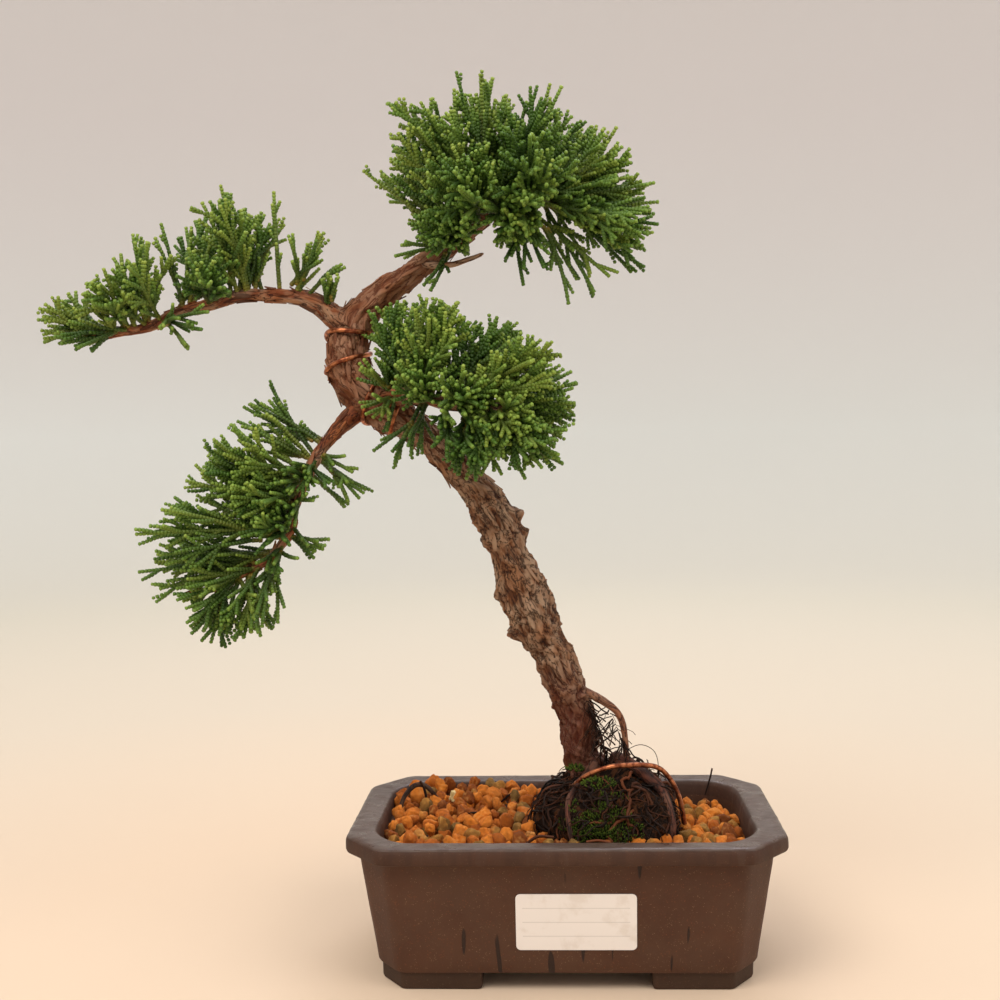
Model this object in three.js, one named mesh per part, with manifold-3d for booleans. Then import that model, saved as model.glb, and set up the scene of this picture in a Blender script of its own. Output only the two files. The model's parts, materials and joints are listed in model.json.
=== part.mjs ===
// A small trained juniper in a shallow training pot. Millimetres, +Z up, front at -Y.
// The finished group is centred on its footprint, with the pot's feet on z = 0.
import * as THREE from 'three';
import { mergeVertices } from 'three/addons/utils/BufferGeometryUtils.js';
import Module from 'manifold-3d';

const wasm = await Module();
wasm.setup();

// ---- driving dimensions ----
const CLEARANCE = 0.3; // gap between neighbouring pieces
const POT_LENGTH = 150; // over the lip, along X
const POT_DEPTH = 100; // over the lip, along Y
const POT_HEIGHT = 51; // floor to rim
const LIP_HEIGHT = 5.7;
const LIP_OVERHANG = 4.4; // lip face beyond the wall
const RIM_WIDTH = 10.5; // lip face to the opening
const RIM_ROUNDING = 0.9;
const CORNER_CUT_X = 13.2; // cut corner of the lip, along X and along Y
const CORNER_CUT_Y = 16.5;
const CORNER_FILLET = 2.6;
const WALL_TAPER = 5.6; // how far each wall leans in, lip to base
const INNER_TAPER = 2.5;
const FOOT_HEIGHT = 6;
const FOOT_INSET = 1.6;
const FOOT_START_X = 28.5; // inner end of each foot, from the middle
const FOOT_START_Y = 16;
const FLOOR_THICKNESS = 3.5;
const DRAIN_RADIUS = 8;
const DRAIN_X = 30; // drainage holes, either side of the middle
const WIRE_HOLE_RADIUS = 1.5;
const WIRE_HOLE_X = 10;
const MESH_SIZE = 24; // square of drainage mesh
const MESH_THICKNESS = 0.8;
const MESH_HOLES = 4; // openings along each side
const MESH_BAR = 1.4;
const LABEL_WIDTH = 40;
const LABEL_HEIGHT = 20;
const LABEL_THICKNESS = 0.25;
const LABEL_X = 3.2; // middle of the label
const LABEL_TOP = 10; // its top edge below the lip, measured up the wall
const LABEL_CORNER = 1.6;
const LABEL_GAP = 0.05; // layer of glue
const SOIL_DROP = 6.8; // rim to the packed bed under the top grains
const SOIL_SLOPE = 3.4; // how much lower the bed is at the right
const SOIL_WALL_GAP = 0.5;
const GRAIN_SPACING = 8.5; // of the bed's coarse lumps
const GRAIN_HEIGHT = 1.7;
const WIRE_RADIUS = 0.9;
const TREE_SCALE = 1; // size of the tree about the trunk's foot
const TRUNK_GIRTH = 1; // trunk and branch thickness
const SHOOT_RADIUS = 1.9; // of a bundle of leafy shoots, where it forks
const SHOOT_TIP_RADIUS = 1.0;
const CUT_TOLERANCE = 0.05; // slivers thinner than this are merged after a cut

// ---- where things are, worked out from the sizes above ----
const WALL_TOP = POT_HEIGHT - LIP_HEIGHT;
const FLOOR_TOP = FOOT_HEIGHT + FLOOR_THICKNESS;
const SOIL_TOP = POT_HEIGHT - SOIL_DROP;
const TREE_FOOT = new THREE.Vector3(12.8, 4, SOIL_TOP + 8.6);

// ---- solids ----

/** A closed geometry as a solid that can be joined and cut. */
function solid(geometry) {
  const bare = geometry.index ? geometry.toNonIndexed() : geometry.clone();
  bare.deleteAttribute('normal');
  bare.deleteAttribute('uv');
  const merged = mergeVertices(bare, 1e-4);
  return new wasm.Manifold(
    new wasm.Mesh({
      numProp: 3,
      vertProperties: merged.attributes.position.array,
      triVerts: new Uint32Array(merged.index.array),
    }),
  );
}

/** The geometry of a solid, flat shaded. */
function geometryOf(shape) {
  const mesh = shape.getMesh();
  const geometry = new THREE.BufferGeometry();
  geometry.setAttribute('position', new THREE.BufferAttribute(mesh.vertProperties, 3));
  geometry.setIndex(new THREE.BufferAttribute(mesh.triVerts, 1));
  const flat = geometry.toNonIndexed();
  flat.computeVertexNormals();
  return flat;
}

/** The largest separate body of a solid, so that a piece stays one body after a cut. */
function largestBody(shape) {
  return shape
    .simplify(CUT_TOLERANCE)
    .decompose()
    .sort((a, b) => b.volume() - a.volume())[0];
}

function seededRandom(seed) {
  let state = seed * 2654435761;
  return () => {
    state = (Math.imul(state ^ (state >>> 15), 2246822519) + 3266489917) | 0;
    return ((state ^ (state >>> 13)) >>> 0) / 4294967296;
  };
}

/** A ring of points round a rectangle whose corners are cut off and slightly rounded. */
function cutCornerRing(halfX, halfY, cutX, cutY, fillet, height) {
  const corners = [
    [halfX - cutX, -halfY],
    [halfX, -halfY + cutY],
    [halfX, halfY - cutY],
    [halfX - cutX, halfY],
    [-halfX + cutX, halfY],
    [-halfX, halfY - cutY],
    [-halfX, -halfY + cutY],
    [-halfX + cutX, -halfY],
  ].map(([x, y]) => new THREE.Vector2(x, y));
  const ring = [];
  corners.forEach((corner, i) => {
    const before = corners[(i + corners.length - 1) % corners.length];
    const after = corners[(i + 1) % corners.length];
    const from = before.clone().sub(corner).setLength(fillet).add(corner);
    const to = after.clone().sub(corner).setLength(fillet).add(corner);
    for (const p of new THREE.QuadraticBezierCurve(from, corner, to).getPoints(2)) {
      ring.push(new THREE.Vector3(p.x, p.y, height));
    }
  });
  return ring;
}

/** A closed skin over rings of points, from the first ring's cap to the last ring's. */
function loft(rings) {
  const sides = rings[0].length;
  const vertices = rings.flat();
  const index = [];
  for (let r = 0; r < rings.length - 1; r++) {
    for (let s = 0; s < sides; s++) {
      const a = r * sides + s;
      const b = r * sides + ((s + 1) % sides);
      index.push(a, b, b + sides, a, b + sides, a + sides);
    }
  }
  for (const [ring, faceUp] of [[rings[0], false], [rings[rings.length - 1], true]]) {
    const start = vertices.indexOf(ring[0]);
    const middle = vertices.length;
    const total = ring.reduce((sum, p) => sum.add(p), new THREE.Vector3());
    vertices.push(total.divideScalar(sides));
    for (let s = 0; s < sides; s++) {
      const a = start + s;
      const b = start + ((s + 1) % sides);
      index.push(...(faceUp ? [a, b, middle] : [b, a, middle]));
    }
  }
  const geometry = new THREE.BufferGeometry().setFromPoints(vertices);
  geometry.setIndex(index);
  return geometry;
}

/**
 * A closed limb through stops of [x, y, z, radius]. It is a lathed column of unit
 * radius bent along the curve, with its radius times relief(angle, share of length).
 */
function limb(stops, { sides = 6, rings = 6, grow = 0, relief = () => 1 } = {}) {
  const points = stops.map(([x, y, z]) => new THREE.Vector3(x, y, z));
  const curve = new THREE.CatmullRomCurve3(points, false, 'centripetal');
  const reach = [0];
  for (let i = 1; i < points.length; i++) reach.push(reach[i - 1] + points[i].distanceTo(points[i - 1]));
  const radiusAt = (share) => {
    const along = share * reach[reach.length - 1];
    let i = 1;
    while (i < reach.length - 1 && reach[i] < along) i++;
    const local = THREE.MathUtils.clamp((along - reach[i - 1]) / (reach[i] - reach[i - 1]), 0, 1);
    return THREE.MathUtils.lerp(stops[i - 1][3], stops[i][3], local);
  };
  const frames = curve.computeFrenetFrames(rings, false);
  const profile = [new THREE.Vector2(0, 0)];
  for (let r = 0; r <= rings; r++) profile.push(new THREE.Vector2(1, r));
  profile.push(new THREE.Vector2(0, rings));
  const column = new THREE.LatheGeometry(profile, sides);
  column.deleteAttribute('normal');
  column.deleteAttribute('uv');
  const bent = mergeVertices(column, 1e-4);
  const position = bent.attributes.position;
  for (let v = 0; v < position.count; v++) {
    const ring = Math.round(position.getY(v));
    const share = ring / rings;
    const across = position.getX(v);
    const up = position.getZ(v);
    const stretch = radiusAt(share) * relief(Math.atan2(across, up), share) + grow;
    const end = ring === 0 ? -grow : ring === rings ? grow : 0;
    const p = curve
      .getPointAt(share)
      .addScaledVector(frames.tangents[ring], end)
      .addScaledVector(frames.binormals[ring], across * stretch)
      .addScaledVector(frames.normals[ring], up * stretch);
    position.setXYZ(v, p.x, p.y, p.z);
  }
  return solid(bent);
}

/** A wire of round section through points. */
function wire(points, radius, steps) {
  const section = new THREE.Shape().absarc(0, 0, radius, 0, 2 * Math.PI);
  const path = new THREE.CatmullRomCurve3(points, false, 'centripetal');
  return solid(new THREE.ExtrudeGeometry(section, { steps, curveSegments: 3, extrudePath: path }));
}

/** A lumpy ball: a sphere of facets pushed in and out, then stretched. */
function lump(centre, radii, { detail = 1, roughness = 0.12, seed = 1, grow = 0 } = {}) {
  const ball = new THREE.IcosahedronGeometry(1, detail);
  ball.deleteAttribute('normal');
  ball.deleteAttribute('uv');
  const merged = mergeVertices(ball, 1e-4);
  const position = merged.attributes.position;
  const random = seededRandom(seed);
  for (let v = 0; v < position.count; v++) {
    const p = new THREE.Vector3().fromBufferAttribute(position, v);
    p.multiplyScalar(1 + roughness * (2 * random() - 1));
    p.multiply(new THREE.Vector3(radii[0] + grow, radii[1] + grow, radii[2] + grow));
    p.add(centre);
    position.setXYZ(v, p.x, p.y, p.z);
  }
  return solid(merged);
}

// ---- the tree's own lines ----
// Each stop is [x, y, z, radius] from the pot's centre on the floor, at the modelled
// pot; treeStops moves them with the soil's surface and scales them about the foot.
const MODELLED_FOOT = [12.8, 4, 52.8];

function treePoint([x, y, z]) {
  return new THREE.Vector3(x - MODELLED_FOOT[0], y - MODELLED_FOOT[1], z - MODELLED_FOOT[2])
    .multiplyScalar(TREE_SCALE)
    .add(TREE_FOOT);
}

function treeStops(stops, girth = TRUNK_GIRTH) {
  return stops.map((stop) => [...treePoint(stop).toArray(), stop[3] * girth * TREE_SCALE]);
}

const TRUNK = [
  [14, 4, 46, 8.2], [12.8, 4, 53, 8.6], [9.3, 4, 63, 7.2], [6, 4, 70, 5.9], [5, 4, 83, 6.3],
  [0, 3, 98, 6.5], [-5, 2, 110, 6.5], [-8, 1, 115, 7.5], [-14, 0, 130, 8.4], [-18, -1, 142, 6.4],
  [-21, -1, 150, 6.5], [-24.5, -2, 158, 7.1], [-29, -2, 166, 5.7], [-38, -1, 175, 5],
  [-46, 0, 184, 5], [-55, 1, 191, 5.7], [-65, 2, 197.5, 7.2], [-74, 3, 205.5, 6.9],
  [-76, 4, 216, 7.2], [-75, 5, 223, 7.4], [-73, 5, 230, 6.2],
];
const APEX_BRANCH = [
  [-70, 5, 231, 5.2], [-62, 5, 238, 4.6], [-54, 4, 243, 4.2], [-44, 3, 250, 3.7], [-34, 2, 257, 3.1],
  [-24, 0, 264, 2.5], [-14, 0, 268, 1.9], [-3, -2, 269, 1.3],
];
const LEFT_BRANCH = [
  [-80, 5, 229, 3.6], [-88, 5, 234.5, 2.9], [-99, 4, 237, 2.2], [-114, 2, 237, 2], [-124, 0, 234, 1.8],
  [-136, -2, 231, 1.6], [-146, -4, 226, 1.5], [-157, -6, 224, 1.4], [-168, -8, 221, 1.1],
];
const LOWER_LEFT_BRANCH = [
  [-77, 0, 191, 2.6], [-83, -3, 184, 1.9], [-87, -6, 178, 1.8], [-90, -8, 172, 1.8],
  [-93.5, -9, 162, 1.6], [-95.5, -10, 153, 1.5], [-103, -11, 143.5, 1.4], [-114, -12, 137, 1.1],
  [-123, -13, 133, 1], [-133, -14, 131.5, 0.8],
];
const MIDDLE_BRANCH = [
  [-58, -8, 200, 2.8], [-48, -13, 199, 2.3], [-38, -20, 197, 1.9], [-28, -25, 196, 1.5], [-16, -28, 193, 1.1],
];
const DEAD_TWIG = [[-42, -2, 246.5, 1.4], [-35, -4, 246, 1.1], [-28, -5, 248, 0.9], [-21, -6, 249.5, 0.6]];
const ARCH_ROOT = [
  [8.5, 2, 92.5, 1.6], [15, -3, 89.8, 1.3], [19.5, -5, 86, 1.1], [21.5, -6, 79, 1], [22, -8, 69, 0.9],
];
const SURFACE_ROOTS = [
  [[20, -4, 66, 2.4], [27, -13, 62, 2.1], [33, -23, 55, 1.7], [36.5, -31, 45, 1.3]],
  [[6, -6, 62, 2.2], [3, -15, 61, 1.9], [1, -25, 56, 1.6], [3, -34, 46, 1.2]],
];
// From the left end of the opening, the middle of the depth and the soil's surface.
const LOOSE_ROOT = [
  [3.5, 9, -0.2, 0.8], [4.5, 9, 6.8, 0.8], [7.5, 11, 11.3, 0.9], [11, 13, 12.3, 0.9],
  [14.5, 15, 9.8, 0.8], [18.5, 18, 4.3, 0.7],
];
const ANCHOR_WIRE = [
  [0, -8, 58], [6.5, -14, 65.5], [14, -16.5, 69.5], [22, -16.5, 70.5], [31.5, -14.5, 69.5], [36.5, -12, 65],
  [40, -11, 58], [42, -10, 48],
];

// Each leafy spray grows from root to tip; spread is how far its side shoots reach.
const SPRAYS = {
  apex_spray: [
    { root: [-36, 1, 262], tip: [-61, 14, 291], spread: 18, shoots: 8 },
    { root: [-31, 4, 266], tip: [-51, -14, 307], spread: 17, shoots: 8 },
    { root: [-25, 1, 268], tip: [-25, 4, 311], spread: 16, shoots: 8 },
    { root: [-18, 2, 270], tip: [-2, -15, 306], spread: 16, shoots: 8 },
    { root: [-12, 4, 271], tip: [13, 19, 297], spread: 15, shoots: 8 },
    { root: [-3, 0, 271], tip: [26, -9, 282], spread: 14, shoots: 7 },
    { root: [1, -2, 267], tip: [33, 6, 266], spread: 12, shoots: 7 },
    { root: [-1, -6, 265], tip: [30, -20, 251], spread: 11, shoots: 7 },
    { root: [-7, -7, 262], tip: [12, -15, 234], spread: 10, shoots: 6 },
    { root: [-16, -6, 262], tip: [-18, -22, 242], spread: 10, shoots: 6 },
    { root: [-28, -6, 257], tip: [-49, -17, 253], spread: 12, shoots: 6 },
    { root: [-25, -6, 264], tip: [-34, -37, 277], spread: 16, shoots: 8 },
    { root: [-12, -6, 268], tip: [-4, -39, 277], spread: 16, shoots: 8 },
    { root: [-20, 8, 268], tip: [-20, 39, 291], spread: 18, shoots: 8 },
  ],
  middle_spray: [
    { root: [-56, -12, 206], tip: [-57, -5, 234], spread: 13, shoots: 7 },
    { root: [-47, -15, 204], tip: [-37, -27, 232], spread: 13, shoots: 7 },
    { root: [-36, -18, 202], tip: [-18, -4, 226], spread: 13, shoots: 7 },
    { root: [-27, -23, 200], tip: [-3, -36, 214], spread: 12, shoots: 7 },
    { root: [-20, -26, 197], tip: [5, -18, 195], spread: 12, shoots: 7 },
    { root: [-23, -28, 190], tip: [-1, -38, 176], spread: 12, shoots: 7 },
    { root: [-32, -26, 190], tip: [-29, -40, 168], spread: 12, shoots: 7 },
    { root: [-50, -18, 194], tip: [-56, -24, 176], spread: 9, shoots: 6 },
  ],
  left_spray: [
    { root: [-94, 3, 241], tip: [-87, -3, 256], spread: 9, shoots: 5 },
    { root: [-107, 4, 241], tip: [-101, 12, 271], spread: 9, shoots: 6 },
    { root: [-118, 1, 239], tip: [-112, -9, 272], spread: 12, shoots: 7 },
    { root: [-131, 0, 236], tip: [-131, 14, 267], spread: 13, shoots: 7 },
    { root: [-146, -4, 230], tip: [-150, -15, 256], spread: 13, shoots: 7 },
    { root: [-162, -7, 226], tip: [-182, -5, 232], spread: 11, shoots: 7 },
    { root: [-141, -6, 228], tip: [-124, -21, 222], spread: 9, shoots: 5 },
  ],
  lower_left_spray: [
    { root: [-87, -1, 182], tip: [-114, 6, 196], spread: 12, shoots: 7 },
    { root: [-84, -7, 179], tip: [-70, -12, 163], spread: 8, shoots: 6 },
    { root: [-92, -7, 169], tip: [-119, -18, 182], spread: 12, shoots: 7 },
    { root: [-97, -7, 160], tip: [-134, 0, 170], spread: 13, shoots: 7 },
    { root: [-99, -12, 149], tip: [-142, -19, 155], spread: 13, shoots: 7 },
    { root: [-110, -12, 141], tip: [-144, -4, 142], spread: 12, shoots: 7 },
    { root: [-119, -14, 132], tip: [-120, -20, 113], spread: 11, shoots: 6 },
    { root: [-101, -12, 142], tip: [-104, -25, 120], spread: 9, shoots: 6 },
  ],
  fork_sprig: [{ root: [-80, -1, 234], tip: [-81, -5, 243], spread: 4, shoots: 3 }],
};

// ---- materials ----
const finish = (color, roughness, metalness = 0) =>
  new THREE.MeshStandardMaterial({ color, roughness, metalness });
const POT_PLASTIC = finish(0x3d3530, 0.7);
const MESH_PLASTIC = finish(0x23241f, 0.7);
const LABEL_PAPER = finish(0xf1f1ee, 0.6);
const BAKED_CLAY = finish(0xa2602a, 0.9);
const PUMICE = finish(0xe0c88e, 0.9);
const ROOT_FIBRE = finish(0x35261b, 0.9);
const ROOT_BARK = finish(0x5b3121, 0.85);
const MOSS = finish(0x4a5c22, 0.95);
const BARK = finish(0x7a4a34, 0.85);
const DEAD_WOOD = finish(0x8a5a3c, 0.85);
const COPPER = finish(0xa85a35, 0.35, 0.9);
const FOLIAGE = finish(0x4f7a30, 0.6);

const tree = new THREE.Group();

/** Adds one named piece. */
function piece(name, shape, material) {
  const mesh = new THREE.Mesh(geometryOf(shape), material);
  mesh.name = name;
  tree.add(mesh);
}

// ---- pot ----
const lipX = POT_LENGTH / 2;
const lipY = POT_DEPTH / 2;
const wallX = lipX - LIP_OVERHANG;
const wallY = lipY - LIP_OVERHANG;
const mouthX = lipX - RIM_WIDTH;
const mouthY = lipY - RIM_WIDTH;
// The cut corners shrink as a ring moves in, so that the lip keeps one width all round.
const cutAt = (inset, cut) => cut - inset * 0.45;

/** A ring of the pot, `inset` mm inside the lip's face. */
function potRing(inset, height, fillet = CORNER_FILLET) {
  return cutCornerRing(
    lipX - inset, lipY - inset, cutAt(inset, CORNER_CUT_X), cutAt(inset, CORNER_CUT_Y), fillet, height,
  );
}

const baseInset = LIP_OVERHANG + WALL_TAPER;
const floorInset = RIM_WIDTH + INNER_TAPER;

function potShape() {
  let shape = solid(
    loft([
      potRing(baseInset + 1, FOOT_HEIGHT),
      potRing(baseInset, FOOT_HEIGHT + 1),
      potRing(LIP_OVERHANG, WALL_TOP - RIM_ROUNDING),
      potRing(LIP_OVERHANG - RIM_ROUNDING, WALL_TOP),
      potRing(RIM_ROUNDING / 2, WALL_TOP),
      potRing(0, WALL_TOP + RIM_ROUNDING / 2),
      potRing(0, POT_HEIGHT - RIM_ROUNDING),
      potRing(RIM_ROUNDING, POT_HEIGHT),
      potRing(RIM_WIDTH - RIM_ROUNDING, POT_HEIGHT, 2 * CORNER_FILLET),
      potRing(RIM_WIDTH, POT_HEIGHT - RIM_ROUNDING, 2 * CORNER_FILLET),
      potRing(floorInset, FLOOR_TOP, 2 * CORNER_FILLET),
    ]),
  );
  // Feet: the corners of a footprint set in from the base.
  const skirt = solid(loft([potRing(baseInset + FOOT_INSET, 0), potRing(baseInset + FOOT_INSET, FLOOR_TOP - 1)]));
  for (const sideX of [-1, 1]) {
    for (const sideY of [-1, 1]) {
      const corner = new THREE.BoxGeometry(lipX, lipY, 2 * FLOOR_TOP);
      corner.translate(sideX * (FOOT_START_X + lipX / 2), sideY * (FOOT_START_Y + lipY / 2), 0);
      shape = shape.add(skirt.intersect(solid(corner)));
    }
  }
  for (const [x, radius, segments] of [
    [-DRAIN_X, DRAIN_RADIUS, 20],
    [DRAIN_X, DRAIN_RADIUS, 20],
    [-WIRE_HOLE_X, WIRE_HOLE_RADIUS, 10],
    [WIRE_HOLE_X, WIRE_HOLE_RADIUS, 10],
  ]) {
    const drill = new THREE.CylinderGeometry(radius, radius, 4 * FLOOR_THICKNESS, segments);
    drill.rotateX(Math.PI / 2).translate(x, 0, FLOOR_TOP);
    shape = shape.subtract(solid(drill));
  }
  return shape;
}

// ---- drainage mesh ----
function meshPanel(x) {
  const pitch = (MESH_SIZE - MESH_BAR) / MESH_HOLES;
  const opening = pitch - MESH_BAR;
  let panel = solid(new THREE.BoxGeometry(MESH_SIZE, MESH_SIZE, MESH_THICKNESS));
  for (let column = 0; column < MESH_HOLES; column++) {
    for (let row = 0; row < MESH_HOLES; row++) {
      const punch = new THREE.BoxGeometry(opening, opening, 3 * MESH_THICKNESS);
      const middle = (MESH_HOLES - 1) / 2;
      punch.translate((column - middle) * pitch, (row - middle) * pitch, 0);
      panel = panel.subtract(solid(punch));
    }
  }
  return panel.translate(x, 0, FLOOR_TOP + CLEARANCE + MESH_THICKNESS / 2);
}

// ---- label: a rounded rectangle lying on the leaning front wall ----
function labelShape() {
  const w = LABEL_WIDTH / 2;
  const h = LABEL_HEIGHT / 2;
  const r = LABEL_CORNER;
  const outline = new THREE.Shape();
  outline.absarc(w - r, h - r, r, 0, Math.PI / 2);
  outline.absarc(-w + r, h - r, r, Math.PI / 2, Math.PI);
  outline.absarc(-w + r, -h + r, r, Math.PI, 1.5 * Math.PI);
  outline.absarc(w - r, -h + r, r, 1.5 * Math.PI, 2 * Math.PI);
  const sheet = new THREE.ExtrudeGeometry(outline, {
    depth: LABEL_THICKNESS, bevelEnabled: false, curveSegments: 4,
  });
  // The sheet's face turns to -Y, then leans with the wall.
  const lean = Math.atan2(WALL_TAPER, WALL_TOP - RIM_ROUNDING - FOOT_HEIGHT - 1);
  sheet.translate(0, -h - LABEL_TOP, LABEL_GAP);
  sheet.rotateX(Math.PI / 2 + lean);
  sheet.translate(LABEL_X, -wallY, WALL_TOP - RIM_ROUNDING);
  return solid(sheet);
}

// ---- soil ----
const bedHeight = (x, y) =>
  SOIL_TOP - SOIL_SLOPE * THREE.MathUtils.smoothstep(x + 0.6 * y, 0.2 * lipX, lipX);

/** The room inside the pot, open upwards, clear of its walls and floor. */
function trayRoom() {
  return solid(
    loft([
      potRing(floorInset + SOIL_WALL_GAP, FLOOR_TOP + CLEARANCE, 2 * CORNER_FILLET),
      potRing(RIM_WIDTH + SOIL_WALL_GAP, POT_HEIGHT, 2 * CORNER_FILLET),
      potRing(RIM_WIDTH + SOIL_WALL_GAP, 3 * POT_HEIGHT, 2 * CORNER_FILLET),
    ]),
  );
}

function soilShape() {
  const random = seededRandom(11);
  // A block with a lumpy top, one cell to a coarse grain, trimmed to the tray.
  const columns = Math.round(POT_LENGTH / GRAIN_SPACING);
  const rows = Math.round(POT_DEPTH / GRAIN_SPACING);
  const block = new THREE.BoxGeometry(POT_LENGTH, POT_DEPTH, 2, columns, rows, 1);
  block.deleteAttribute('normal');
  block.deleteAttribute('uv');
  const merged = mergeVertices(block, 1e-4);
  const position = merged.attributes.position;
  for (let v = 0; v < position.count; v++) {
    if (position.getZ(v) < 0) {
      position.setZ(v, 0);
      continue;
    }
    const jitter = 0.3 * GRAIN_SPACING;
    const x = position.getX(v) + jitter * (2 * random() - 1);
    const y = position.getY(v) + jitter * (2 * random() - 1);
    position.setXYZ(v, x, y, bedHeight(x, y) + GRAIN_HEIGHT * (2 * random() - 1));
  }
  return trayRoom().intersect(solid(merged));
}

// ---- foliage ----
const SPRAY_SEGMENTS = 5;

/** The main shoot's curve, its frame and where each side shoot starts and ends. */
function sprayPlan({ root, tip, spread, shoots }, seed) {
  const random = seededRandom(seed);
  const from = treePoint(root);
  const to = treePoint(tip);
  const length = from.distanceTo(to);
  const axis = to.clone().sub(from).normalize();
  const side = new THREE.Vector3(0, 1, 0).cross(axis).normalize();
  const front = axis.clone().cross(side);
  const bend = from.clone().lerp(to, 0.5).addScaledVector(side, (random() - 0.5) * 0.16 * length);
  const main = new THREE.QuadraticBezierCurve3(from, bend, to);
  const sideShoots = [];
  for (let i = 0; i < shoots; i++) {
    // Pairs of shoots leave left and right, then front and back, up the main shoot.
    const segment = Math.min(SPRAY_SEGMENTS - 1, 1 + Math.floor((i * (SPRAY_SEGMENTS - 1)) / shoots));
    const face = (2 * (i % 2) + segment) % 4;
    const turn = ((face + 0.8 * (random() - 0.5)) * Math.PI) / 2;
    const out = side.clone().multiplyScalar(Math.cos(turn)).addScaledVector(front, Math.sin(turn));
    const direction = axis.clone().multiplyScalar(0.8).addScaledVector(out, 0.8).normalize();
    const start = main.getPoint((segment + 0.5) / SPRAY_SEGMENTS);
    const along = segment / SPRAY_SEGMENTS;
    const reach = Math.min(TREE_SCALE * spread * (1.15 - 0.5 * along), (1.1 - along) * length + 3);
    sideShoots.push({ segment, face, start, end: start.clone().addScaledVector(direction, reach) });
  }
  return { main, side, front, sideShoots };
}

/** Half the width of the main shoot's section, at a share of its length. */
const sprayGirth = (share) => THREE.MathUtils.lerp(SHOOT_RADIUS, SHOOT_TIP_RADIUS, share ** 1.5);

/** One spray: a square main shoot, with side shoots drawn out of its faces. */
function sprayShape(spray, seed, grow = 0) {
  const { main, side, front, sideShoots } = sprayPlan(spray, seed);
  const corners = [-1, 1, 3, 5].map((n) => (n * Math.PI) / 4);
  const rings = [];
  for (let r = 0; r <= SPRAY_SEGMENTS; r++) {
    const share = r / SPRAY_SEGMENTS;
    const girth = Math.SQRT2 * (sprayGirth(share) + grow);
    rings.push(
      corners.map((angle) =>
        main.getPoint(share)
          .addScaledVector(side, Math.cos(angle) * girth)
          .addScaledVector(front, Math.sin(angle) * girth),
      ),
    );
  }
  const vertices = rings.flat();
  const index = [];
  const quad = (a, b, c, d) => index.push(a, b, c, a, c, d);
  const drawnOut = new Map(sideShoots.map((shoot) => [shoot.segment * 4 + shoot.face, shoot]));
  for (let segment = 0; segment < SPRAY_SEGMENTS; segment++) {
    for (let face = 0; face < 4; face++) {
      const low = segment * 4 + face;
      const lowNext = segment * 4 + ((face + 1) % 4);
      const base = [low, lowNext, lowNext + 4, low + 4];
      const shoot = drawnOut.get(low);
      if (!shoot) {
        quad(...base);
        continue;
      }
      const direction = shoot.end.clone().sub(shoot.start).normalize();
      const across = vertices[lowNext].clone().sub(vertices[low]);
      across.addScaledVector(direction, -across.dot(direction)).setLength(SHOOT_TIP_RADIUS + grow);
      const up = direction.clone().cross(across);
      const first = vertices.length;
      for (const [a, b] of [[-1, -1], [1, -1], [1, 1], [-1, 1]]) {
        const corner = shoot.end.clone().addScaledVector(direction, grow);
        vertices.push(corner.addScaledVector(across, a).addScaledVector(up, b));
      }
      for (let k = 0; k < 4; k++) {
        quad(base[k], base[(k + 1) % 4], first + ((k + 1) % 4), first + k);
      }
      quad(first, first + 1, first + 2, first + 3);
    }
  }
  quad(3, 2, 1, 0);
  const last = SPRAY_SEGMENTS * 4;
  quad(last, last + 1, last + 2, last + 3);
  const geometry = new THREE.BufferGeometry().setFromPoints(vertices);
  geometry.setIndex(index);
  return solid(geometry);
}

// ---- woody parts ----
// Ridges that twist slowly round the trunk, and burls that swell it.
const bark = (angle, share) =>
  1 + 0.09 * Math.sin(3 * angle + 9 * share) + 0.06 * Math.sin(5 * angle - 17 * share + 1)
  + 0.05 * Math.sin(23 * share + angle);
const trunkOptions = { sides: 10, rings: 30, relief: bark };
const branchOptions = { sides: 6, rings: 8, relief: bark };
const twigOptions = { sides: 5, rings: 6 };

const trunkStops = treeStops(TRUNK);
const branches = {
  apex_branch: treeStops(APEX_BRANCH),
  left_branch: treeStops(LEFT_BRANCH),
  lower_left_branch: treeStops(LOWER_LEFT_BRANCH),
  middle_branch: treeStops(MIDDLE_BRANCH),
};

/** Points of a wire wound round the trunk, between two heights. */
function windingPoints(fromShare, toShare, turns, phase) {
  const centre = new THREE.CatmullRomCurve3(
    trunkStops.map(([x, y, z]) => new THREE.Vector3(x, y, z)), false, 'centripetal',
  );
  const steps = Math.round(turns * 9);
  const points = [];
  for (let i = 0; i <= steps; i++) {
    const share = THREE.MathUtils.lerp(fromShare, toShare, i / steps);
    const tangent = centre.getTangentAt(share);
    const across = new THREE.Vector3(0, 1, 0).cross(tangent).normalize();
    const front = tangent.clone().cross(across);
    const angle = phase + (2 * Math.PI * turns * i) / steps;
    const radius = 7.4 * TRUNK_GIRTH * TREE_SCALE + WIRE_RADIUS;
    points.push(
      centre.getPointAt(share)
        .addScaledVector(across, Math.cos(angle) * radius)
        .addScaledVector(front, Math.sin(angle) * radius),
    );
  }
  return points;
}

const windings = {
  training_wire_upper: windingPoints(0.905, 0.975, 1.4, 3.3),
  training_wire_lower: windingPoints(0.775, 0.845, 1.3, 3.6),
};

// ---- build, each piece clear of those made before it ----
const taken = [];
/** Cuts a shape clear of everything in `taken`, and keeps its main body. */
const clearOf = (shape) => largestBody(shape.subtract(wasm.Manifold.union(taken)));
/** The same for what grows or lies in the pot, which also stays clear of its walls. */
const clearInTray = (shape) => clearOf(shape.intersect(trayRoom()));

piece('pot', potShape(), POT_PLASTIC);
piece('label', labelShape(), LABEL_PAPER);
for (const [name, x] of [['drainage_mesh_left', -DRAIN_X], ['drainage_mesh_right', DRAIN_X]]) {
  piece(name, meshPanel(x), MESH_PLASTIC);
}

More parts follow.
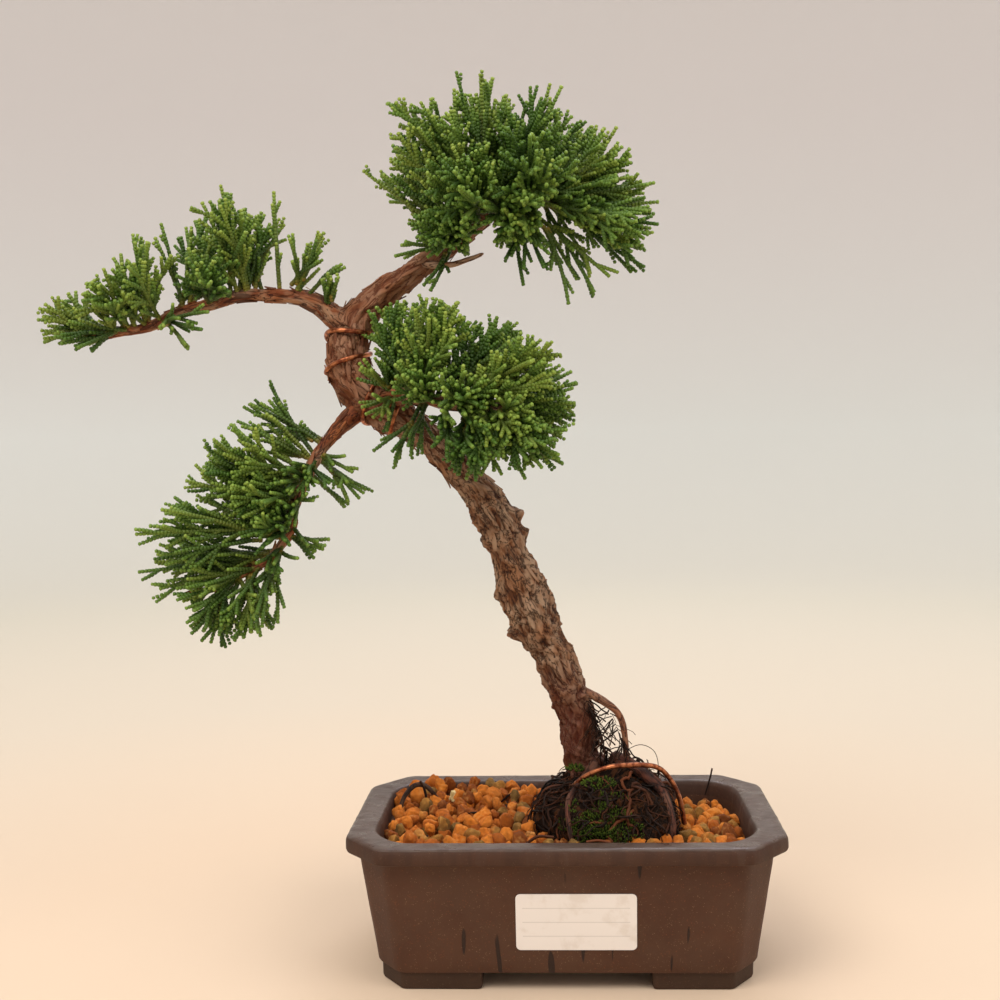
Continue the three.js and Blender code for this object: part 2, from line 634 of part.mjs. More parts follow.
for (const [name, points] of Object.entries(windings)) {
  const steps = points.length * 2;
  piece(name, wire(points, WIRE_RADIUS, steps), COPPER);
  taken.push(wire(points, WIRE_RADIUS + CLEARANCE, steps));
}
const anchorPoints = ANCHOR_WIRE.map(treePoint);
piece('anchor_wire', clearInTray(wire(anchorPoints, WIRE_RADIUS, 24)), COPPER);
taken.push(wire(anchorPoints, WIRE_RADIUS + CLEARANCE, 24));

piece('trunk', clearOf(limb(trunkStops, trunkOptions)), BARK);
taken.push(limb(trunkStops, { ...trunkOptions, grow: CLEARANCE }));

for (const [name, stops] of Object.entries(branches)) {
  piece(name, clearOf(limb(stops, branchOptions)), BARK);
  taken.push(limb(stops, { ...branchOptions, grow: CLEARANCE }));
}
piece('dead_twig', clearOf(limb(treeStops(DEAD_TWIG), twigOptions)), DEAD_WOOD);
taken.push(limb(treeStops(DEAD_TWIG), { ...twigOptions, grow: CLEARANCE }));

piece('arch_root', clearOf(limb(treeStops(ARCH_ROOT), twigOptions)), ROOT_BARK);
taken.push(limb(treeStops(ARCH_ROOT), { ...twigOptions, grow: CLEARANCE }));

SURFACE_ROOTS.forEach((stops, i) => {
  piece(`surface_root_${i + 1}`, clearInTray(limb(treeStops(stops), twigOptions)), ROOT_BARK);
  taken.push(limb(treeStops(stops), { ...twigOptions, grow: CLEARANCE }));
});

const mossCentre = treePoint([10, -31, 50]);
const mossRadii = [10, 6, 4].map((radius) => radius * TREE_SCALE);
piece('moss', clearInTray(lump(mossCentre, mossRadii, { seed: 5 })), MOSS);
taken.push(lump(mossCentre, mossRadii, { seed: 5, grow: CLEARANCE }));

const moundCentre = treePoint([17, -8, 44]);
const moundRadii = [24, 29, 24.5].map((radius) => radius * TREE_SCALE);
const moundOptions = { detail: 3, roughness: 0.05, seed: 3 };
piece('root_mound', clearInTray(lump(moundCentre, moundRadii, moundOptions)), ROOT_FIBRE);
taken.push(lump(moundCentre, moundRadii, { ...moundOptions, grow: CLEARANCE }));

const looseStops = LOOSE_ROOT.map(([x, y, z, radius]) => [x - mouthX, y, z + SOIL_TOP, radius]);
piece('loose_root', clearInTray(limb(looseStops, twigOptions)), ROOT_BARK);
taken.push(limb(looseStops, { ...twigOptions, grow: CLEARANCE }));

for (const [name, x, y, radius, material] of [
  ['pumice_grain', -41, 18, 3.2, PUMICE],
  ['loose_grain', -12, -22, 2.8, BAKED_CLAY],
]) {
  const centre = new THREE.Vector3(x, y, bedHeight(x, y) + radius);
  const radii = [radius * 1.1, radius, radius * 0.85];
  const seed = Math.round(radius * 10 + x * x);
  piece(name, clearOf(lump(centre, radii, { detail: 0, seed })), material);
  taken.push(lump(centre, radii, { detail: 0, seed, grow: CLEARANCE }));
}

for (const x of [-DRAIN_X, DRAIN_X]) {
  const room = MESH_SIZE + 2 * CLEARANCE;
  const block = new THREE.BoxGeometry(room, room, 2 * (MESH_THICKNESS + 2 * CLEARANCE));
  taken.push(solid(block.translate(x, 0, FLOOR_TOP + CLEARANCE)));
}
piece('akadama_soil', clearOf(soilShape()), BAKED_CLAY);

let seed = 100;
for (const [pad, sprays] of Object.entries(SPRAYS)) {
  sprays.forEach((spray, i) => {
    const name = sprays.length > 1 ? `${pad}_${i + 1}` : pad;
    piece(name, clearOf(sprayShape(spray, seed)), FOLIAGE);
    taken.push(sprayShape(spray, seed, CLEARANCE));
    seed += 1;
  });
}

// Stand the feet on z = 0 and centre the footprint on the origin.
const box = new THREE.Box3().setFromObject(tree);
const middle = box.getCenter(new THREE.Vector3());
tree.position.set(-middle.x, -middle.y, -box.min.z);

export default tree;
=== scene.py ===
"""A small trained juniper in a shallow training pot, dressed around its CAD frame."""

from __future__ import annotations

import json
import logging
import math
import random
from dataclasses import dataclass, field
from enum import Enum
from typing import Callable, Sequence, Union

import bmesh
import bpy
import numpy as np
from mathutils import Matrix, Vector, noise

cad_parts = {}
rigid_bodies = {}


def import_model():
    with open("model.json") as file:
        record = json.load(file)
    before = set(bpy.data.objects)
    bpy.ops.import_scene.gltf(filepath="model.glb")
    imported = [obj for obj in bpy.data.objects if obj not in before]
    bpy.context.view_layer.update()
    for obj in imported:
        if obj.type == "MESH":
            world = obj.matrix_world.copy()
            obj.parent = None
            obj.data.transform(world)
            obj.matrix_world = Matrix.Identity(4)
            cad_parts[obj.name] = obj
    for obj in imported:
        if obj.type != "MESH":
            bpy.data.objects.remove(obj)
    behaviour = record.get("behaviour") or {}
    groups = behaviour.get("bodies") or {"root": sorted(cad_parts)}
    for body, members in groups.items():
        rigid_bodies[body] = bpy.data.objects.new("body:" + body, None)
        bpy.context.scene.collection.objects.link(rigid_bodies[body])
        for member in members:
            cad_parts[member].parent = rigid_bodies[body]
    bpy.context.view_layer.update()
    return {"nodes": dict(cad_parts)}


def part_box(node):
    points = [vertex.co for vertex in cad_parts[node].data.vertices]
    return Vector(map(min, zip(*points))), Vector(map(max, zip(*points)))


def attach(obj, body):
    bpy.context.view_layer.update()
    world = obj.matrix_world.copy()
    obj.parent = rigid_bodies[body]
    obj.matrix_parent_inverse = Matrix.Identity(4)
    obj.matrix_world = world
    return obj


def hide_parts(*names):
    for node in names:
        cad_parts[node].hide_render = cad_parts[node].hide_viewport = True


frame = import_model()
log = logging.getLogger("juniper")
# The offsets of noise_vector come from the clock unless a seed is set.
noise.seed_set(5)

Mesh = bpy.types.Mesh
Material = bpy.types.Material
Node = bpy.types.Node
Socket = bpy.types.NodeSocket
Point = Sequence[float]

MM = 0.001
BODY = "root"
GOLDEN_ANGLE = 2.39996


# ---- places -------------------------------------------------------------------------


def pot_origin() -> Vector:
    """The pot's centre on the surface it stands on, in metres."""
    low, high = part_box("pot")
    return Vector(((low.x + high.x) / 2, (low.y + high.y) / 2, low.z))


ORIGIN = pot_origin()


def unit(v: Vector) -> Vector:
    """The vector at length one."""
    return v.normalized()


def smooth(low: float, high: float, x: float) -> float:
    """A smooth step from 0 at low to 1 at high."""
    t = min(1.0, max(0.0, (x - low) / (high - low)))
    return t * t * (3 - 2 * t)


def blend(first: Vector, second: Vector, angle: float) -> Vector:
    """The direction at an angle from one direction towards another square to it."""
    return first * math.cos(angle) + second * math.sin(angle)


def lerp(a: float, b: float, t: float) -> float:
    """The value a share t of the way from a to b."""
    return a + (b - a) * t


def tint(code: str) -> tuple[float, float, float, float]:
    """A screen colour such as "a2602a" as linear light.

    Args:
        code: Six hexadecimal digits.

    Returns:
        Red, green, blue and alpha.
    """
    channels = [int(code[i : i + 2], 16) / 255 for i in (0, 2, 4)]
    linear = [c / 12.92 if c <= 0.04045 else ((c + 0.055) / 1.055) ** 2.4 for c in channels]
    return (linear[0], linear[1], linear[2], 1.0)


# ---- shader maths -------------------------------------------------------------------

Number = Union["Value", float]


class Value:
    """A number that varies over a surface; sums on it add Math nodes."""

    def __init__(self, paint: Paint, socket: Socket) -> None:
        """Wraps a socket of one paint's node tree."""
        self.paint = paint
        self.socket = socket

    def _math(self, operation: str, first: Number, second: Number) -> Value:
        """One Math node on two numbers."""
        return Value(self.paint, self.paint.maths(operation, first, second))

    def __add__(self, other: Number) -> Value:
        """This number plus another."""
        return self._math("ADD", self, other)

    def __sub__(self, other: Number) -> Value:
        """This number less another."""
        return self._math("SUBTRACT", self, other)

    def __rsub__(self, other: Number) -> Value:
        """Another number less this one."""
        return self._math("SUBTRACT", other, self)

    def __mul__(self, other: Number) -> Value:
        """This number times another."""
        return self._math("MULTIPLY", self, other)

    __radd__ = __add__
    __rmul__ = __mul__

    def above(self, edge: float, softness: float) -> Value:
        """0 below an edge and 1 above it, with a soft step between."""
        reach = {"Value": self, "From Min": edge - softness, "From Max": edge + softness}
        node = self.paint.node("ShaderNodeMapRange", reach, interpolation_type="SMOOTHSTEP")
        return Value(self.paint, node.outputs["Result"])

    def below(self, edge: float, softness: float) -> Value:
        """1 below an edge and 0 above it."""
        return 1 - self.above(edge, softness)


Stops = Sequence[tuple[float, str]]


class Nodes:
    """A node tree while its nodes are put together."""

    tree: bpy.types.NodeTree

    def node(self, kind: str, inputs: dict, **settings: object) -> Node:
        """Adds a node.

        Args:
            kind: The node's type name.
            inputs: Values or links, by socket name or index.
            settings: Properties set before anything is linked.

        Returns:
            The new node.
        """
        node = self.tree.nodes.new(kind)
        for key, value in settings.items():
            setattr(node, key, value)
        for key, value in inputs.items():
            self.set(node.inputs[key], value)
        return node

    def set(self, socket: Socket, value: object) -> None:
        """Links a value or another socket to a socket, or sets a plain number on it."""
        value = value.socket if isinstance(value, Value) else value
        if isinstance(value, Socket):
            self.tree.links.new(value, socket)
        else:
            socket.default_value = value

    def maths(self, operation: str, *numbers: object) -> Socket:
        """One sum on two or three numbers."""
        return self.node("ShaderNodeMath", dict(enumerate(numbers)), operation=operation).outputs[0]


class Paint(Nodes):
    """One procedural material while its nodes are put together."""

    def __init__(self, name: str, roughness: float, metallic: float = 0.0, specular: float = 0.3) -> None:
        """Starts a material with a plain principled surface."""
        self.material = bpy.data.materials.new(name)
        self.material.use_nodes = True
        self.tree = self.material.node_tree
        self.tree.nodes.clear()
        look = {"Roughness": roughness, "Metallic": metallic, "Specular IOR Level": specular}
        self.surface = self.node("ShaderNodeBsdfPrincipled", look)
        self.node("ShaderNodeOutputMaterial", {"Surface": self.surface.outputs[0]})

    def spot(self) -> Socket:
        """Object coordinates."""
        return self.node("ShaderNodeTexCoord", {}).outputs["Object"]

    def place(self, *stretch: float) -> Socket:
        """Object coordinates, squeezed along each axis."""
        inputs = {"Vector": self.spot(), "Scale": stretch or (1.0, 1.0, 1.0)}
        return self.node("ShaderNodeMapping", inputs).outputs[0]

    def axes(self, where: Socket) -> list[Value]:
        """The three numbers of a place."""
        return [Value(self, out) for out in self.node("ShaderNodeSeparateXYZ", {0: where}).outputs]

    def height(self) -> Value:
        """Height above the surface that the object stands on, in metres."""
        return self.axes(self.spot())[2]

    def stored(self, attribute: str) -> Node:
        """A number or a vector stored on the mesh."""
        return self.node("ShaderNodeAttribute", {}, attribute_name=attribute)

    def chart(self) -> list[Value]:
        """The two coordinates of the map that a grower stored."""
        return self.axes(self.node("ShaderNodeUVMap", {}, uv_map="OFBake").outputs[0])[:2]

    def noise(self, scale: float, where: object, detail: float = 3.0, rough: float = 0.55) -> Value:
        """Cloudy noise from 0 to 1."""
        inputs = {"Scale": scale, "Detail": detail, "Roughness": rough, "Vector": where}
        return Value(self, self.node("ShaderNodeTexNoise", inputs).outputs[0])

    def cells(self, scale: float, where: object) -> Value:
        """The distance to the middle of the nearest cell of a jittered grid."""
        node = self.node("ShaderNodeTexVoronoi", {"Scale": scale, "Vector": where})
        return Value(self, node.outputs["Distance"])

    def ramp(self, amount: Value, stops: Stops) -> Socket:
        """A colour chosen by a number; a stop is a place from 0 to 1 and a colour code."""
        node = self.node("ShaderNodeValToRGB", {0: amount})
        elements = node.color_ramp.elements
        elements.remove(elements[-1])
        elements[0].position = stops[0][0]
        elements[0].color = tint(stops[0][1])
        for place, code in stops[1:]:
            elements.new(place).color = tint(code)
        return node.outputs[0]

    def mix(self, amount: Number, first: object, second: object, blend: str = "MIX") -> Socket:
        """Two colours mixed by an amount; a colour can be given as a code."""
        first, second = [tint(c) if isinstance(c, str) else c for c in (first, second)]
        inputs = {0: amount, 6: first, 7: second}
        return self.node("ShaderNodeMix", inputs, data_type="RGBA", blend_type=blend).outputs[2]

    def colour(self, value: object) -> None:
        """Sets the surface's colour."""
        self.set(self.surface.inputs["Base Color"], value)

    def rough(self, value: object) -> None:
        """Sets the surface's roughness."""
        self.set(self.surface.inputs["Roughness"], value)

    def bump(self, height: Value, depth: float, strength: float = 1.0) -> None:
        """Raises the surface by a height from 0 to 1 times a depth in metres."""
        node = self.node("ShaderNodeBump", {"Height": height, "Distance": depth, "Strength": strength})
        self.set(self.surface.inputs["Normal"], node.outputs[0])


# ---- finishes -----------------------------------------------------------------------


@dataclass(frozen=True)
class PotPlastic:
    """Dark matte moulded plastic with pale flecks, drips on the lip and a few scores."""

    base: str = "4f2e1b"
    shade: str = "351d10"
    fleck: str = "8c6b50"
    rust: str = "7a4424"
    bloom_and_reflection: str = "625750"
    lip_z: float = 45.4
    rim_z: float = 50.2

    def material(self) -> Material:
        """The finished material."""
        p = Paint("pot_plastic", 0.6, 0.0, 0.4)
        at = p.place()
        z = p.height()
        patches = p.noise(45.0, at, 4.0)
        colour = p.mix(patches.above(0.5, 0.3) * 0.6 + 0.4, self.shade, self.base)
        dusty = p.noise(26.0, at, 5.0, 0.7)
        colour = p.mix(dusty.above(0.52, 0.12) * 0.4, colour, "553b2a")
        # Fine flecks in the plastic, pale ones and rusty ones.
        fine = p.cells(1500.0, at)
        scarce = p.noise(420.0, at, 1.0)
        flecks = fine.below(0.22, 0.06) * scarce.above(0.56, 0.04)
        colour = p.mix(flecks * 0.55, colour, self.fleck)
        rusty = fine.below(0.3, 0.08) * scarce.below(0.40, 0.03)
        colour = p.mix(rusty * 0.4, colour, self.rust)
        # Water marks that run down the lip, painted shade over the whole lip, and on top of it a dull grey
        # bloom that is partly a painted reflection.
        runs = p.noise(160.0, p.place(1.0, 1.0, 0.16), 2.0)
        on_lip = z.above(self.lip_z * MM, 0.3 * MM)
        colour = p.mix(runs.below(0.46, 0.05) * on_lip * 0.5, colour, self.shade)
        colour = p.mix(runs.above(0.60, 0.05) * on_lip * 0.12, colour, self.bloom_and_reflection)
        # Painted shade: the whole lip is darkened, to take back the light that it catches from above.
        colour = p.mix(on_lip * 0.45, colour, self.shade)
        # On the rim's top: pale grey patches, partly a real bloom and partly a painted reflection of the
        # bright room.
        on_rim = z.above(self.rim_z * MM, 0.35 * MM)
        cloudy = p.noise(120.0, at, 3.0)
        colour = p.mix(on_rim * cloudy.above(0.42, 0.18) * 0.5, colour, self.bloom_and_reflection)
        # Scores drawn down the wall.
        scores = p.noise(230.0, p.place(1.0, 1.0, 0.035), 1.0)
        deep = scores.below(0.27, 0.012) * z.below(self.lip_z * MM, 0.2 * MM)
        colour = p.mix(deep * 0.8, colour, "180d08")
        # The feet are darker and a little green.
        colour = p.mix(z.below(5.8 * MM, 0.5 * MM) * 0.6, colour, "281c10")
        p.colour(colour)
        p.rough(0.62 - on_rim * 0.34 + patches * 0.12 - runs.above(0.6, 0.05) * on_lip * 0.12)
        grain = p.noise(900.0, at, 3.0, 0.65)
        dents = p.noise(190.0, at, 1.0) * on_rim
        p.bump(grain * 0.35 + dents * 1.6 - deep * 0.9 - fine.below(0.16, 0.05) * 0.25, 0.35 * MM, 0.75)
        return p.material


@dataclass(frozen=True)
class LabelPaper:
    """Coated white paper, ruled in pale grey for writing on and a little scuffed."""

    sheet: str = "efebe8"
    line: str = "b9b5b2"
    smudge: str = "cfc4b8"
    margin: float = 2.2
    rows: int = 3
    half_line: float = 0.11

    def material(self) -> Material:
        """The finished material."""
        low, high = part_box("label")
        p = Paint("label_paper", 0.42, 0.0, 0.5)
        at = p.spot()
        x, _, z = p.axes(at)
        edge, soft = self.margin * MM, 0.05 * MM
        inside = x.above(low.x + edge, soft) * x.below(high.x - edge, soft)
        lines: Number = 0.0
        for row in range(1, self.rows + 1):
            level = lerp(low.z, high.z, row / (self.rows + 1))
            lines += z.above(level - self.half_line * MM, soft) * z.below(level + self.half_line * MM, soft)
        marks = p.noise(130.0, at, 4.0)
        colour = p.mix(marks.above(0.62, 0.08) * 0.35, self.sheet, self.smudge)
        colour = p.mix(lines * inside * 0.6, colour, self.line)
        p.colour(colour)
        p.rough(0.40 + marks * 0.16)
        p.bump(p.noise(1600.0, at, 2.0), 0.03 * MM, 0.5)
        return p.material


@dataclass(frozen=True)
class MeshPlastic:
    """Dull dark netting plastic, dusty with clay."""

    base: str = "23241f"
    dust: str = "6b4a2c"

    def material(self) -> Material:
        """The finished material."""
        p = Paint("mesh_plastic", 0.6)
        at = p.place()
        dusty = p.noise(300.0, at, 3.0)
        p.colour(p.mix(dusty.above(0.55, 0.1) * 0.5, self.base, self.dust))
        p.rough(0.5 + dusty * 0.3)
        p.bump(dusty, 0.1 * MM, 0.5)
        return p.material


@dataclass(frozen=True)
class BakedClay:
    """Fired clay granules, each of its own colour, rough and crumbly."""

    stops: Stops = (
        (0.0, "783f14"),
        (0.16, "a65718"),
        (0.34, "c96f24"),
        (0.55, "e2852c"),
        (0.74, "d47c2e"),
        (0.86, "a07434"),
        (0.94, "72582c"),
        (1.0, "f4a440"),
    )

    def material(self) -> Material:
        """The finished material."""
        p = Paint("baked_clay", 0.9)
        tone, light_and_shade = p.chart()
        colour = p.ramp(tone, self.stops)
        # Painted shade over one side of each granule and in noise patches, and a painted yellow highlight
        # over its other side.
        colour = p.mix(light_and_shade.below(0.42, 0.25) * 0.4, colour, "5a3010")
        p.colour(p.mix(light_and_shade.above(0.72, 0.15) * 0.3, colour, "ecb468"))
        p.bump(p.noise(1300.0, p.place(), 5.0, 0.75), 0.7 * MM, 1.0)
        return p.material


@dataclass(frozen=True)
class SingleGrain:
    """One stone: a mineral skin with pits."""

    name: str
    base: str
    pit: str

    def material(self) -> Material:
        """The finished material."""
        p = Paint(self.name, 0.85)
        at = p.place()
        pits = p.noise(900.0, at, 4.0, 0.65)
        p.colour(p.mix(pits.below(0.5, 0.12) * 0.8, self.base, self.pit))
        p.rough(0.75 + pits * 0.2)
        p.bump(pits, 0.5 * MM, 1.0)
        return p.material


@dataclass(frozen=True)
class Strands:
    """Thin roots and hairs, each strand of its own tone."""

    name: str
    stops: Stops
    gloss: float = 0.6

    def material(self) -> Material:
        """The finished material."""
        p = Paint(self.name, self.gloss, 0.0, 0.15)
        tone, along = p.chart()
        colour = p.ramp(tone, self.stops)
        p.colour(p.mix(along.above(0.75, 0.25) * 0.25, colour, "6a4026"))
        return p.material


@dataclass(frozen=True)
class DarkFibre:
    """The matted, peaty body of the root ball."""

    base: str = "170d07"
    root: str = "3e2413"
    dust: str = "50311a"

    def material(self) -> Material:
        """The finished material."""
        p = Paint("root_fibre", 0.95, 0.0, 0.1)
        at = p.place()
        mat = p.noise(260.0, at, 5.0, 0.7)
        threads = p.noise(520.0, p.place(1.0, 1.0, 0.25), 3.0)
        colour = p.mix(threads.above(0.56, 0.06), self.base, self.root)
        p.colour(p.mix(mat.above(0.62, 0.06) * 0.6, colour, self.dust))
        p.rough(0.8 + mat * 0.15)
        p.bump(mat * 0.6 + threads * 0.6, 1.0 * MM, 1.0)
        return p.material


@dataclass(frozen=True)
class Bark:
    """Juniper bark: grey-tan plates over fibrous red-brown, split along the limb."""

    name: str
    deep: str
    fibre: str
    plate: str
    weathered: str
    greyness: float = 0.5
    gloss: float = 0.75
    low: str = ""

    def material(self) -> Material:
        """The finished material."""
        p = Paint(self.name, self.gloss)
        grain = p.stored("grain").outputs["Vector"]
        relief = Value(p, p.stored("relief").outputs["Fac"])
        fine = p.noise(1500.0, grain, 5.0, 0.68)
        broad = p.noise(330.0, grain, 3.0, 0.6)
        patches = p.noise(85.0, p.place(), 3.0)
        threads = relief * 0.34 + fine * 0.42 + broad * 0.24
        colour = p.ramp(threads, ((0.33, self.deep), (0.46, self.fibre), (0.62, self.plate)))
        faded = patches.above(0.5 + 0.3 * (0.5 - self.greyness), 0.12)
        dry = broad.above(0.42, 0.12) * relief.above(0.4, 0.15)
        colour = p.mix(faded * dry * 0.8, colour, self.weathered)
        # Thin dark splits along the plates' edges.
        edge = p.noise(480.0, grain, 3.0, 0.6)
        cracks = edge.above(0.475, 0.012) * edge.below(0.525, 0.012)
        colour = p.mix(cracks * 0.75 + fine.below(0.36, 0.04) * 0.4, colour, self.deep)
        shine = self.gloss - 0.1 + broad * 0.25
        if self.low:
            # Smooth, dark red bark at the foot of the trunk; warm orange fibre at its top.
            foot = p.height().below(96 * MM, 20 * MM)
            colour = p.mix(foot * 0.78, colour, self.low)
            top = p.height().above(185 * MM, 22 * MM)
            colour = p.mix(top * 0.4, colour, "84401f")
            shine = shine - foot * 0.3
        p.colour(colour)
        p.rough(shine)
        p.bump(fine * 0.6 + broad * 0.4 - cracks * 0.5, 0.8 * MM, 0.9)
        return p.material


@dataclass(frozen=True)
class Moss:
    """Soft moss, dark in its depths and yellow-green at its tips."""

    def material(self) -> Material:
        """The finished material."""
        p = Paint("moss", 0.85, 0.0, 0.15)
        tone, along = p.chart()
        colour = p.ramp(tone, ((0.0, "0f1807"), (0.5, "22350c"), (1.0, "4a5a18")))
        p.colour(p.mix(along.above(0.6, 0.35) * 0.35, colour, "66782a"))
        return p.material


@dataclass(frozen=True)
class Copper:
    """Annealed copper wire, browned with age and bright where it was bent."""

    def material(self) -> Material:
        """The finished material."""
        p = Paint("copper_wire", 0.35, 0.85, 0.5)
        at = p.place()
        worn = p.noise(420.0, at, 3.0)
        p.colour(p.mix(worn.above(0.5, 0.12), "6e3722", "c07850"))
        p.rough(0.5 - worn * 0.25)
        p.bump(p.noise(1500.0, at, 2.0), 0.05 * MM, 0.6)
        return p.material


@dataclass(frozen=True)
class ScaleLeaves:
    """Scale-leaf shoots: woody at the base, deep green, then lime at the tips, which are painted lighter
    where they point up.
    """

    stops: Stops = (
        (0.0, "5f3d22"),
        (0.08, "8a5f22"),
        (0.17, "77702a"),
        (0.27, "41561b"),
        (0.50, "4f6b28"),
        (0.74, "65842d"),
        (0.90, "82a042"),
        (1.0, "9aae4c"),
    )

    def material(self) -> Material:
        """The finished material."""
        p = Paint("foliage", 0.48, 0.0, 0.35)
        shade, age = p.chart()
        # The second map coordinate is each shoot's age together with painted light: lighter and limier
        # towards tips that point up, darker towards tips that point down.
        colour = p.ramp(age, self.stops)
        dark = p.mix(1.0, colour, "aec4a4", "MULTIPLY")
        warm = p.mix(0.28, colour, "9aa03a")
        colour = p.mix(shade.below(0.40, 0.22), colour, dark)
        p.colour(p.mix(shade.above(0.72, 0.2), colour, warm))
        return p.material


@dataclass(frozen=True)
class StudioFloor:
    """Matte paper sweep with painted light and shade in its colour: warm under the object and paler towards
    its wall.
    """

    reach: float = 2.6
    stops: Stops = (
        (0.06, "e0cab1"),
        (0.18, "dacebb"),
        (0.41, "dbd6c6"),
        (0.76, "e5e7e2"),
        (0.97, "dfd9d6"),
    )

    def material(self) -> Material:
        """The finished material."""
        p = Paint("studio_floor", 0.9, 0.0, 0.5)
        flat = p.place(1.0, 1.0, 0.0)
        away = p.node("ShaderNodeVectorMath", {0: flat}, operation="LENGTH").outputs["Value"]
        # Painted light and shade: the colour follows the distance from the middle, as the studio's light
        # falls over the sweep.
        p.colour(p.ramp(Value(p, away) * (1 / self.reach), self.stops))
        return p.material


# ---- growing meshes with geometry nodes ---------------------------------------------


class Grower(Nodes):
    """A geometry node tree, put together in code and then run on a mesh."""

    def __init__(self, name: str, inputs: dict[str, tuple[str, object]]) -> None:
        """Starts a tree.

        Args:
            name: The tree's name.
            inputs: Each named input's socket type and first value.
        """
        self.tree = bpy.data.node_groups.new(name, "GeometryNodeTree")
        face = self.tree.interface
        for way in ("INPUT", "OUTPUT"):
            face.new_socket("Geometry", in_out=way, socket_type="NodeSocketGeometry")
        for label, (kind, value) in inputs.items():
            socket = face.new_socket(label, in_out="INPUT", socket_type=f"NodeSocket{kind}")
            if value is not None:
                socket.default_value = value
        self.source = self.tree.nodes.new("NodeGroupInput")
        self.out = self.tree.nodes.new("NodeGroupOutput")

    def __getitem__(self, label: str) -> Socket:
        """One of the tree's inputs."""
        return self.source.outputs[label]

    def named(self, attribute: str, kind: str = "FLOAT") -> Socket:
        """A stored attribute."""
        node = self.node("GeometryNodeInputNamedAttribute", {"Name": attribute}, data_type=kind)
        return node.outputs["Attribute"]

    def random(self, kind: str, low: object, high: object, seed: object) -> Socket:
        """A random value of one data type for each element."""
        inputs = {"Min": low, "Max": high, "Seed": seed}
        node = self.node("FunctionNodeRandomValue", inputs, data_type=kind)
        return node.outputs[("FLOAT_VECTOR", "FLOAT", "INT").index(kind)]

    def store(self, shape: object, name: str, value: object, kind: str = "FLOAT",
              domain: str = "POINT") -> Socket:
        """Stores a value on a shape under a name."""
        inputs = {"Geometry": shape, "Name": name, "Value": value}
        return self.node("GeometryNodeStoreNamedAttribute", inputs, data_type=kind, domain=domain).outputs[0]

    def chart(self, shape: object, across: object, up: object) -> Socket:
        """Stores the UV map that the finish is looked up in."""
        pair = self.node("ShaderNodeCombineXYZ", {"X": across, "Y": up}).outputs[0]
        return self.store(shape, "OFBake", pair, "FLOAT2", "CORNER")

    def real(self, shape: object) -> Socket:
        """Instances made into real geometry."""
        return self.node("GeometryNodeRealizeInstances", {"Geometry": shape}).outputs[0]

    def sow(self, inputs: dict) -> Node:
        """Points spread over the mesh, none closer to another than "Spacing"."""
        spread = {"Mesh": self["Geometry"], "Distance Min": self["Spacing"],
                  "Density Max": self["Density"], "Seed": self["Seed"]}
        return self.node("GeometryNodeDistributePointsOnFaces", spread | inputs, distribute_method="POISSON")

    def stand(self, points: Socket, choices: Socket, rotation: Socket, scale: Socket) -> Socket:
        """Stands a shape of a collection, picked at random, on each point."""
        info = {"Collection": choices, "Separate Children": True, "Reset Children": True}
        return self.node("GeometryNodeInstanceOnPoints", {
            "Points": points, "Instance": self.node("GeometryNodeCollectionInfo", info).outputs[0],
            "Pick Instance": True, "Rotation": rotation, "Scale": scale,
        }).outputs[0]

    def aim(self, axis: str, inputs: dict, pivot: str = "AUTO") -> Socket:
        """A rotation that turns one axis towards a vector."""
        kind = "FunctionNodeAlignRotationToVector"
        return self.node(kind, inputs, axis=axis, pivot_axis=pivot).outputs[0]

    def spin(self, rotation: Socket, angle: Socket) -> Socket:
        """A rotation turned further about its own Z axis."""
        turn = self.node("FunctionNodeAxisAngleToRotation", {"Axis": (0, 0, 1), "Angle": angle}).outputs[0]
        inputs = {"Rotation": rotation, "Rotate By": turn}
        return self.node("FunctionNodeRotateRotation", inputs, rotation_space="LOCAL").outputs[0]

    def finish(self, shape: object, material: object) -> None:
        """Ends the tree: instances made real, smooth, with one material."""
        soft = self.node("GeometryNodeSetShadeSmooth", {"Geometry": self.real(shape)}).outputs[0]
        done = self.node("GeometryNodeSetMaterial", {"Geometry": soft, "Material": material})
        self.set(self.out.inputs[0], done.outputs[0])

    def run(self, name: str, mesh: Mesh, values: dict[str, object]) -> Mesh:
        """Runs the tree on a mesh.

        Args:
            name: The result's name.
            mesh: What the tree starts from.
            values: The tree's inputs, by name.

        Returns:
            A plain mesh.
        """
        mesh.name = f"{name}_start"
        holder = bpy.data.objects.new(mesh.name, mesh)
        bpy.context.scene.collection.objects.link(holder)
        modifier = holder.modifiers.new(name, "NODES")
        modifier.node_group = self.tree
        for item in self.tree.interface.items_tree:
            if item.in_out == "INPUT" and item.name in values:
                modifier[item.identifier] = values[item.name]
        graph = bpy.context.evaluated_depsgraph_get()
        grown = bpy.data.meshes.new_from_object(
            holder.evaluated_get(graph), preserve_all_data_layers=True, depsgraph=graph
        )
        grown.name = name
        bpy.data.objects.remove(holder)
        return grown


